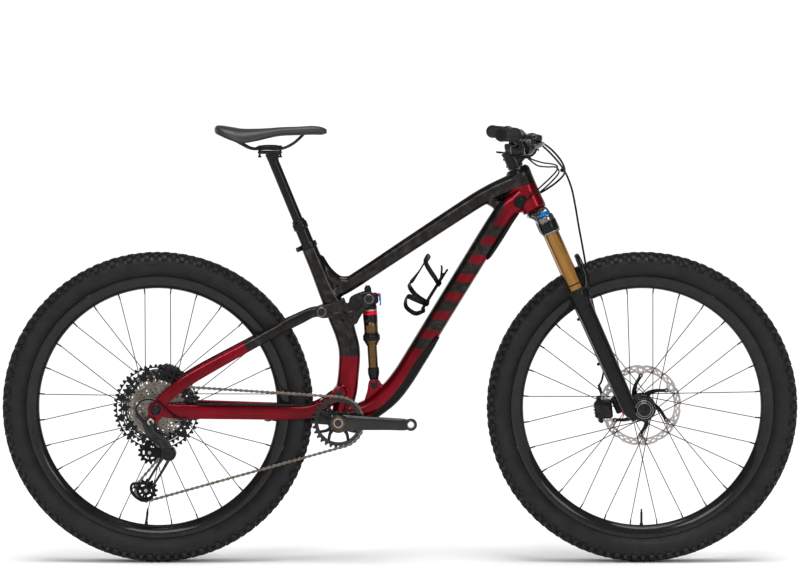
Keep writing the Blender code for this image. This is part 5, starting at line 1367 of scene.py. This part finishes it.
def chain_route():
    """The chain's line as points, and the index where each arc round a wheel begins and ends."""
    pulley_r = pitch_radius(PULLEY_TEETH)
    wheels_round = [(BB, pitch_radius(RING_TEETH), RING_Y, 1),
        (REAR_AXLE, pitch_radius(CASSETTE_TEETH[CHAIN_COG]), CHAIN_Y, 1),
        (GUIDE, pulley_r, CHAIN_Y, -1), (TENSION, pulley_r, CHAIN_Y, 1)]
    angles = []
    for i, (centre, radius, _, way) in enumerate(wheels_round):
        other, other_r, _, other_way = wheels_round[(i + 1) % 4]
        dx, dz = other.x - centre.x, other.z - centre.z
        k = other_way * other_r - way * radius
        angles.append(math.atan2(dz, dx) + math.asin(-k / math.hypot(dx, dz)))
    points, marks = [], []
    for i, (centre, radius, y, way) in enumerate(wheels_round):
        begin, end = angles[i - 1], angles[i]
        turn = ((end - begin) * way) % (2 * math.pi)
        steps = max(8, round(turn / math.radians(1.5)))
        marks.append(len(points))
        for k in range(steps + 1):
            heading = begin + way * turn * k / steps
            out = Vector((math.sin(heading), 0, -math.cos(heading)))
            points.append(Vector((centre.x, y, centre.z)) + out * way * radius)
        marks.append(len(points) - 1)
    return points, marks


# A link's two side plates: how far each is from the middle, its thickness, and its outlines as
# (share of the thickness, how much the outline draws in there).
OUTER_PLATE_Y, INNER_PLATE_Y = 2.35, 1.55
PLATE_THICK = 0.75
PLATE_OUTLINES = ((-0.5, 0.4), (-0.15, 0.0), (0.15, 0.0), (0.5, 0.4))
PLATE_R, PLATE_END, PLATE_WAIST = 4.0, 4.15, 2.0


def chain_link(a, b, index):
    """One link between two pins: wide plates on every other one, narrow between."""
    along = (b - a).normalized()
    up = Y_AXIS.cross(along).normalized()
    half = (b - a).length / 2
    middle = a.lerp(b, 0.5)
    offset = OUTER_PLATE_Y if index % 2 == 0 else INNER_PLATE_Y
    shapes = []
    for way in (-1, 1):
        rings = []
        for depth, shrink in PLATE_OUTLINES:
            ring = []
            for k in range(20):
                turn = 2 * math.pi * k / 20
                c, s = math.cos(turn), math.sin(turn)
                x = math.copysign(1, c) * half * min(1.0, abs(c) * 2.2) + c * (PLATE_R - shrink)
                waist = PLATE_WAIST + 2.1 * min(1.0, abs(x) / half) ** 2
                z = s * ((waist if abs(x) < half else PLATE_END) - shrink)
                ring.append(middle + along * x + up * z + Y_AXIS * (way * offset + depth * PLATE_THICK))
            rings.append(ring)
        shapes.append(skin(rings))
    shapes.append(rod(a - Y_AXIS * 3.0, a + Y_AXIS * 3.0, 1.8, sides=12))
    shapes.append(rod(a - Y_AXIS * 1.2, a + Y_AXIS * 1.2, 3.85, sides=16))
    return shapes


def chain():
    points, marks = chain_route()
    loop = points + [points[0]]
    lengths = [0.0]
    for p, q in zip(loop, loop[1:]):
        lengths.append(lengths[-1] + (q - p).length)
    total = lengths[-1]
    count = 2 * round(total / PITCH / 2)
    step = total / count

    def at_length(s):
        s = s % total
        i = int(np.searchsorted(lengths, s, side="right")) - 1
        i = min(i, len(points) - 1)
        share = (s - lengths[i]) / max(lengths[i + 1] - lengths[i], 1e-9)
        return loop[i].lerp(loop[i + 1], share)

    edge = [lengths[m] for m in marks]
    low = edge[7]
    third = (total - low) / 3
    # Each span's start and end along the chain, and the body at each of its ends
    spans = [("chain_ring_arc", edge[0], edge[1], "frame", None),
        ("chain_upper_run", edge[1], edge[2], "frame", "swingarm"),
        ("chain_cog_wrap", edge[2], edge[3], "swingarm", "seatstays"),
        ("chain_entry", edge[3], edge[4], "seatstays", "derailleur_cage"),
        ("chain_cage", edge[4], low, "derailleur_cage", None),
        ("chain_lower_rear", low, low + third, "derailleur_cage", "seatstays"),
        ("chain_lower_middle", low + third, low + 2 * third, "seatstays", "swingarm"),
        ("chain_lower_front", low + 2 * third, total, "swingarm", "frame")]
    made = {name: [] for name, *_ in spans}
    for k in range(count):
        middle = (k + 0.5) * step
        for name, start, end, *_ in spans:
            if start <= middle < end + 1e-6:
                made[name] += chain_link(at_length(k * step), at_length((k + 1) * step), k)
                break
    for name, start, end, first, second in spans:
        if not made[name]:
            continue
        item = piece(name, merge(*made[name]), LINKS, first if second is None else None, "chain", angle=30)
        if second:
            at_length(start) * MM
            at_length(min(end, total - 1e-3)) * MM
            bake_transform(item)


def derailleur():
    hanger = Vector((-596.5, 0, 348.5))
    shapes = [loft([(hanger + Vector((-10, -93, 6)), 5, 12), (hanger + Vector((-3, -92.6, -14)), 5.5, 13.5),
        (hanger + Vector((6, -91, -34)), 6, 12.5), (CAGE_PIVOT + Vector((-12, -83, 26)), 6.6, 13.4),
        (CAGE_PIVOT + Vector((0, -77, 0)), 8, 12.5)], 32, squareness=3.0),
        rod(hanger - Y_AXIS * 96.6, hanger - Y_AXIS * 86.6, 11, sides=40),
        rod((-628, -96, 365.3), (-612, -92, 346), 4.6), lathe(CAGE_PIVOT, -Y_AXIS,
        [(1, 58.4), (16.4, 58.4), (18, 60), (18, 84), (16.6, 87), (13, 88), (1, 88)], 56, solid=True)]
    piece("mech_body", fused("mech_skin", shapes, 0.9, 4), DARK, "seatstays", "derailleur_body")
    struts = [loft([(hanger + Vector((dx - 6, -98.2, -2)), 1.6, 4.2),
        (hanger + Vector((dx + 2, -98, -26)), 1.6, 4.0), (CAGE_PIVOT + Vector((dx - 10, -90.6, 30)), 1.6,
        3.8), (CAGE_PIVOT + Vector((dx - 3, -89, 14)), 1.4, 3.4)], 20, squareness=3) for dx in (-9, 8)]
    piece("mech_struts", merge(*struts), GLOSSY, "seatstays")
    piece("clutch_cap", merge(ring_of(CAGE_PIVOT, -Y_AXIS, 10, 15.4, 87.4, 89.6, 56),
        bolt(CAGE_PIVOT - Y_AXIS * 87.8, -Y_AXIS, 6, 2)), BLACK, "seatstays")
    piece("hanger_bolt", bolt(hanger - Y_AXIS * 96.2, -Y_AXIS, 8.2, 2.6), SILVER, "seatstays")

    drop = (TENSION - CAGE_PIVOT).normalized()
    across = Vector((drop.z, 0, -drop.x))
    plates, ribs = [], []
    for y in (CHAIN_Y - 5.4, CHAIN_Y + 5.4):
        low = round_outline([(TENSION.x + x, TENSION.z + z) for x, z in ((-34, 14), (-20, 17), (0, 16),
            (14, 8), (19, -4), (12, -18), (-6, -25), (-24, -16), (-35, -2))])
        ring = [side(p.x, p.y, y) for p in low]
        plates.append(pipe(ring + [ring[0]], 3.0, 10, 2))
        plates.append(ring_of(TENSION, Y_AXIS, 4, 10.5, y - 0.9, y + 0.9, 40))
        for tx, tz in ((-30, 8), (14, -8), (-10, -22), (2, 15)):
            plates.append(loft([(side(TENSION.x, TENSION.z, y), 3, 0.9),
                (side(TENSION.x + tx, TENSION.z + tz, y), 2.6, 0.9)], 12,
                across=Vector((-tz, 0, tx)).normalized(), steps=2))
        plates.append(slab(round_outline([(CAGE_PIVOT.x + 12, CAGE_PIVOT.z - 4),
            (CAGE_PIVOT.x + 4, CAGE_PIVOT.z + 12), (GUIDE.x + 2, GUIDE.z + 9), (GUIDE.x - 9, GUIDE.z),
            (GUIDE.x, GUIDE.z - 9), (CAGE_PIVOT.x - 8, CAGE_PIVOT.z - 14)]), y - 0.8, y + 0.8, 0.5))
        for offset in (-9, 8):
            ribs.append(loft([(CAGE_PIVOT + across * offset * 0.8 + drop * 8 + Y_AXIS * y, 4.2, 1.3),
                (CAGE_PIVOT + across * offset + drop * 50 + Y_AXIS * y, 3.2, 1.3),
                (TENSION + across * offset * 0.9 - drop * 10 + Y_AXIS * y, 3.0, 1.2)], 16, across=across,
                squareness=3.2))
    shaft = rod(CAGE_PIVOT - Y_AXIS * 71.5, CAGE_PIVOT + Y_AXIS * (CHAIN_Y - 5.4), 6)
    piece("cage_plates", merge(*plates, shaft), PLASTIC, "derailleur_cage", "derailleur_cage")
    piece("cage_ribs", merge(*ribs), GLOSSY, "derailleur_cage")
    heads = [bolt(p + Y_AXIS * (CHAIN_Y - 6.2), -Y_AXIS, 4.4, 2.0) for p in (GUIDE, TENSION)]
    heads += [rod(p + Y_AXIS * (CHAIN_Y - 6.4), p + Y_AXIS * (CHAIN_Y + 6.4), 3) for p in (GUIDE, TENSION)]
    piece("pulley_bolts", merge(*heads), SILVER, "derailleur_cage")
    for node, centre in (("guide_pulley", GUIDE), ("tension_pulley", TENSION)):
        def window(turn, share):
            return 0.30 < share < 0.62 and spaced(turn, 6, 0.30)
        wheel = cog(centre, CHAIN_Y, 3.4, PULLEY_TEETH, 6.5, 12, window, 2.6)
        bearing = ring_of(centre, Y_AXIS, 3.3, 7.4, CHAIN_Y - 2.4, CHAIN_Y + 2.4, 32)
        piece(node + "_wheel", wheel, PLASTIC, node, node, angle=30)
        piece(node + "_bearing", bearing, SILVER, node)


# --------------------------------------------------------------- saddle, post

def saddle():
    # Along the saddle: x, top, half-width, how far the edges hang below the top
    rows = smooth_rows([(-446, 1050, 20, 5), (-440, 1056, 46, 14), (-425, 1055.5, 62, 22),
        (-400, 1052, 70, 30), (-380, 1049, 70, 33), (-345, 1049, 60, 27), (-315, 1050.5, 48, 20),
        (-285, 1053, 37, 16), (-245, 1054.5, 27, 16), (-210, 1055, 22, 15), (-188, 1052, 17, 12),
        (-176, 1046, 9, 6)], 5)
    rings = []
    for x, high, wide, hang in rows:
        ring = []
        groove = 2.6 * max(0.0, min(1.0, (x + 425) / 30)) * max(0.0, min(1.0, (-215 - x) / 40))
        for k in range(25):
            u = -1 + k / 12
            dip = groove * math.exp(-(wide * u / 8) ** 2)
            ring.append(Vector((x, wide * math.sin(u * math.pi / 2), high - hang * abs(u) ** 2.6 - dip)))
        for k in range(23):
            u = 1 - (k + 1) / 12
            under = min(11.0, hang * 0.85)
            ring.append(Vector((x, (wide - 2.5) * math.sin(u * math.pi / 2),
                high - hang * abs(u) ** 2.6 - under)))
        rings.append(ring)
    item = piece("saddle_cover_pad", skin(rings), LEATHER, "saddle", "saddle", subdivide=1)
    seam = [pipe([(x, way * (wide - 0.4), high - hang - 1.2) for x, high, wide, hang in rows[6:-5]], 1.0, 8,
        2) for way in (-1, 1)]
    piece("saddle_piping", merge(*seam), RUBBER, "saddle")
    wire = 3.5
    run = [(-398, -38, 1022), (-380, -30, 1011.5), (-356, -22, 1000.4), (-320, -22, 1000.2),
        (-284, -22, 1000.6), (-258, -20, 1012), (-238, -15, 1029), (-224, -8, 1045)]
    rails = pipe(run + [(x, -y, z) for x, y, z in reversed(run)], wire, 16, 7, across=Z_AXIS)
    piece("rail_wires", rails, DARK, "saddle", "saddle_rails")
    inner = lathe(seat(0), SEAT_UP, [(1, -30), (12.5, -30), (12.5, 243), (11.8, 246), (1, 246)], 56,
        solid=True)
    head = loft([(seat(236), 12.2, 12.4), (seat(248) + X_AXIS * 2, 13, 15),
        (seat(256) + X_AXIS * 4, 14, 18)], 32)
    cradle = box((-313, 0, 991.4), (58, 54, 8), edge=3)
    piece("post_head", fused("post_skin", [inner, head, cradle], 1.1, 3), BLACK, "saddle", "post_inner")
    clamps = []
    for way in (-1, 1):
        clamps.append(loft([((-346, way * 22, 1001.6), 5.4, 3), ((-330, way * 22, 1004.6), 7, 4.2),
            ((-300, way * 22, 1004.8), 7, 4.2), ((-284, way * 22, 1001.8), 5.4, 3)], 20, squareness=3))
    piece("rail_clamps", merge(*clamps), BLACK, "saddle")
    screws = [merge(rod((x, 0, 982), (x, 0, 1004), 2.6), bolt((x, 0, 982.6), -Z_AXIS, 4.4, 4),
        rod((x, -7, 1003.6), (x, 7, 1003.6), 4.6)) for x in (-338, -288)]
    piece("clamp_screws", merge(*screws), DARK, "saddle")


# ---------------------------------------------------------------------- stage

# The floor's rings, as radius and height in metres: flat under the object, then a shallow rise,
# so that no edge shows from a low camera.
FLOOR_RINGS = ((0.01, 0), (14, 0), (19, 0.2), (27, 1.1), (300, 78))
FLOOR_SIDES = 96
FLOOR_COLOUR = (0.95, 0.95, 0.95, 1)
WORLD_STRENGTH = 0.22
LAMP_AIM = (0, 0, 0.55)
# Name, kind, place, power, and the size in metres or the sun's angle.
LAMPS = (("overhead", "SUN", (0, -0.8, 6.0), 2.75, math.radians(40)),
    ("front_softbox", "AREA", (-1.0, -4.6, 3.4), 75, 1.8),
    ("strip_softbox", "AREA", (2.8, -3.6, 2.2), 30, 1.2))
CAMERA_PLACE = (0, -8.19, 1.12)
CAMERA_AIM = (0, 0, 0.659)
CAMERA_LENS = 152.9
CAMERA_SENSOR = 36


def turned_to(aim, place):
    return (Vector(aim) - Vector(place)).to_track_quat("-Z", "Y").to_euler()


def lamp(name, kind, place, power, size):
    data = bpy.data.lights.new(name, kind)
    data.energy = power
    if kind == "AREA":
        data.size = size
    else:
        data.angle = size
    item = bpy.data.objects.new(name, data)
    bpy.context.scene.collection.objects.link(item)
    item.location = place
    item.rotation_euler = turned_to(LAMP_AIM, place)


def stage():
    n = FLOOR_SIDES
    corners = [(r * math.cos(k * math.tau / n), r * math.sin(k * math.tau / n), z)
        for r, z in FLOOR_RINGS for k in range(n)]
    sides = [(i * n + k, i * n + (k + 1) % n, (i + 1) * n + (k + 1) % n, (i + 1) * n + k)
        for i in range(len(FLOOR_RINGS) - 1) for k in range(n)]
    sheet = bpy.data.meshes.new("floor")
    sheet.from_pydata(corners, [], [tuple(range(n))[::-1]] + [tuple(reversed(s)) for s in sides])
    floor = bpy.data.objects.new("floor", sheet)
    bpy.context.scene.collection.objects.link(floor)
    mat = bpy.data.materials.new("floor_sweep")
    mat.use_nodes = True
    shader = mat.node_tree.nodes["Principled BSDF"]
    shader.inputs["Base Color"].default_value = FLOOR_COLOUR
    shader.inputs["Roughness"].default_value = 1.0
    shader.inputs["Specular IOR Level"].default_value = 0.0
    floor.data.materials.append(mat)

    scene = bpy.context.scene
    scene.view_settings.view_transform = "Standard"
    world = bpy.data.worlds.new("soft_world")
    world.use_nodes = True
    background = world.node_tree.nodes["Background"]
    background.inputs["Color"].default_value = (1.0, 1.0, 1.0, 1)
    background.inputs["Strength"].default_value = WORLD_STRENGTH
    scene.world = world
    for row in LAMPS:
        lamp(*row)

    data = bpy.data.cameras.new("camera")
    data.lens = CAMERA_LENS
    data.sensor_width = CAMERA_SENSOR
    camera = bpy.data.objects.new("camera", data)
    scene.collection.objects.link(camera)
    camera.location = CAMERA_PLACE
    camera.rotation_euler = turned_to(CAMERA_AIM, CAMERA_PLACE)
    scene.camera = camera


front_frame()
guards()
post_and_clamp()
bottle_cage()
chainstays()
seatstays()
rocker()
shock_unit()
fork()
fork_lower_leg()
caliper("caliper_front", FRONT_AXLE, 186, 101.5, 44, "fork_lowers")
caliper("caliper_rear", REAR_AXLE, 72, 90, 58, "seatstays")
caliper_fitting()
housing_barrels()
cockpit()
controls()
cables()
wheels()
cassette()
cranks()
chain()
derailleur()
saddle()
stage()
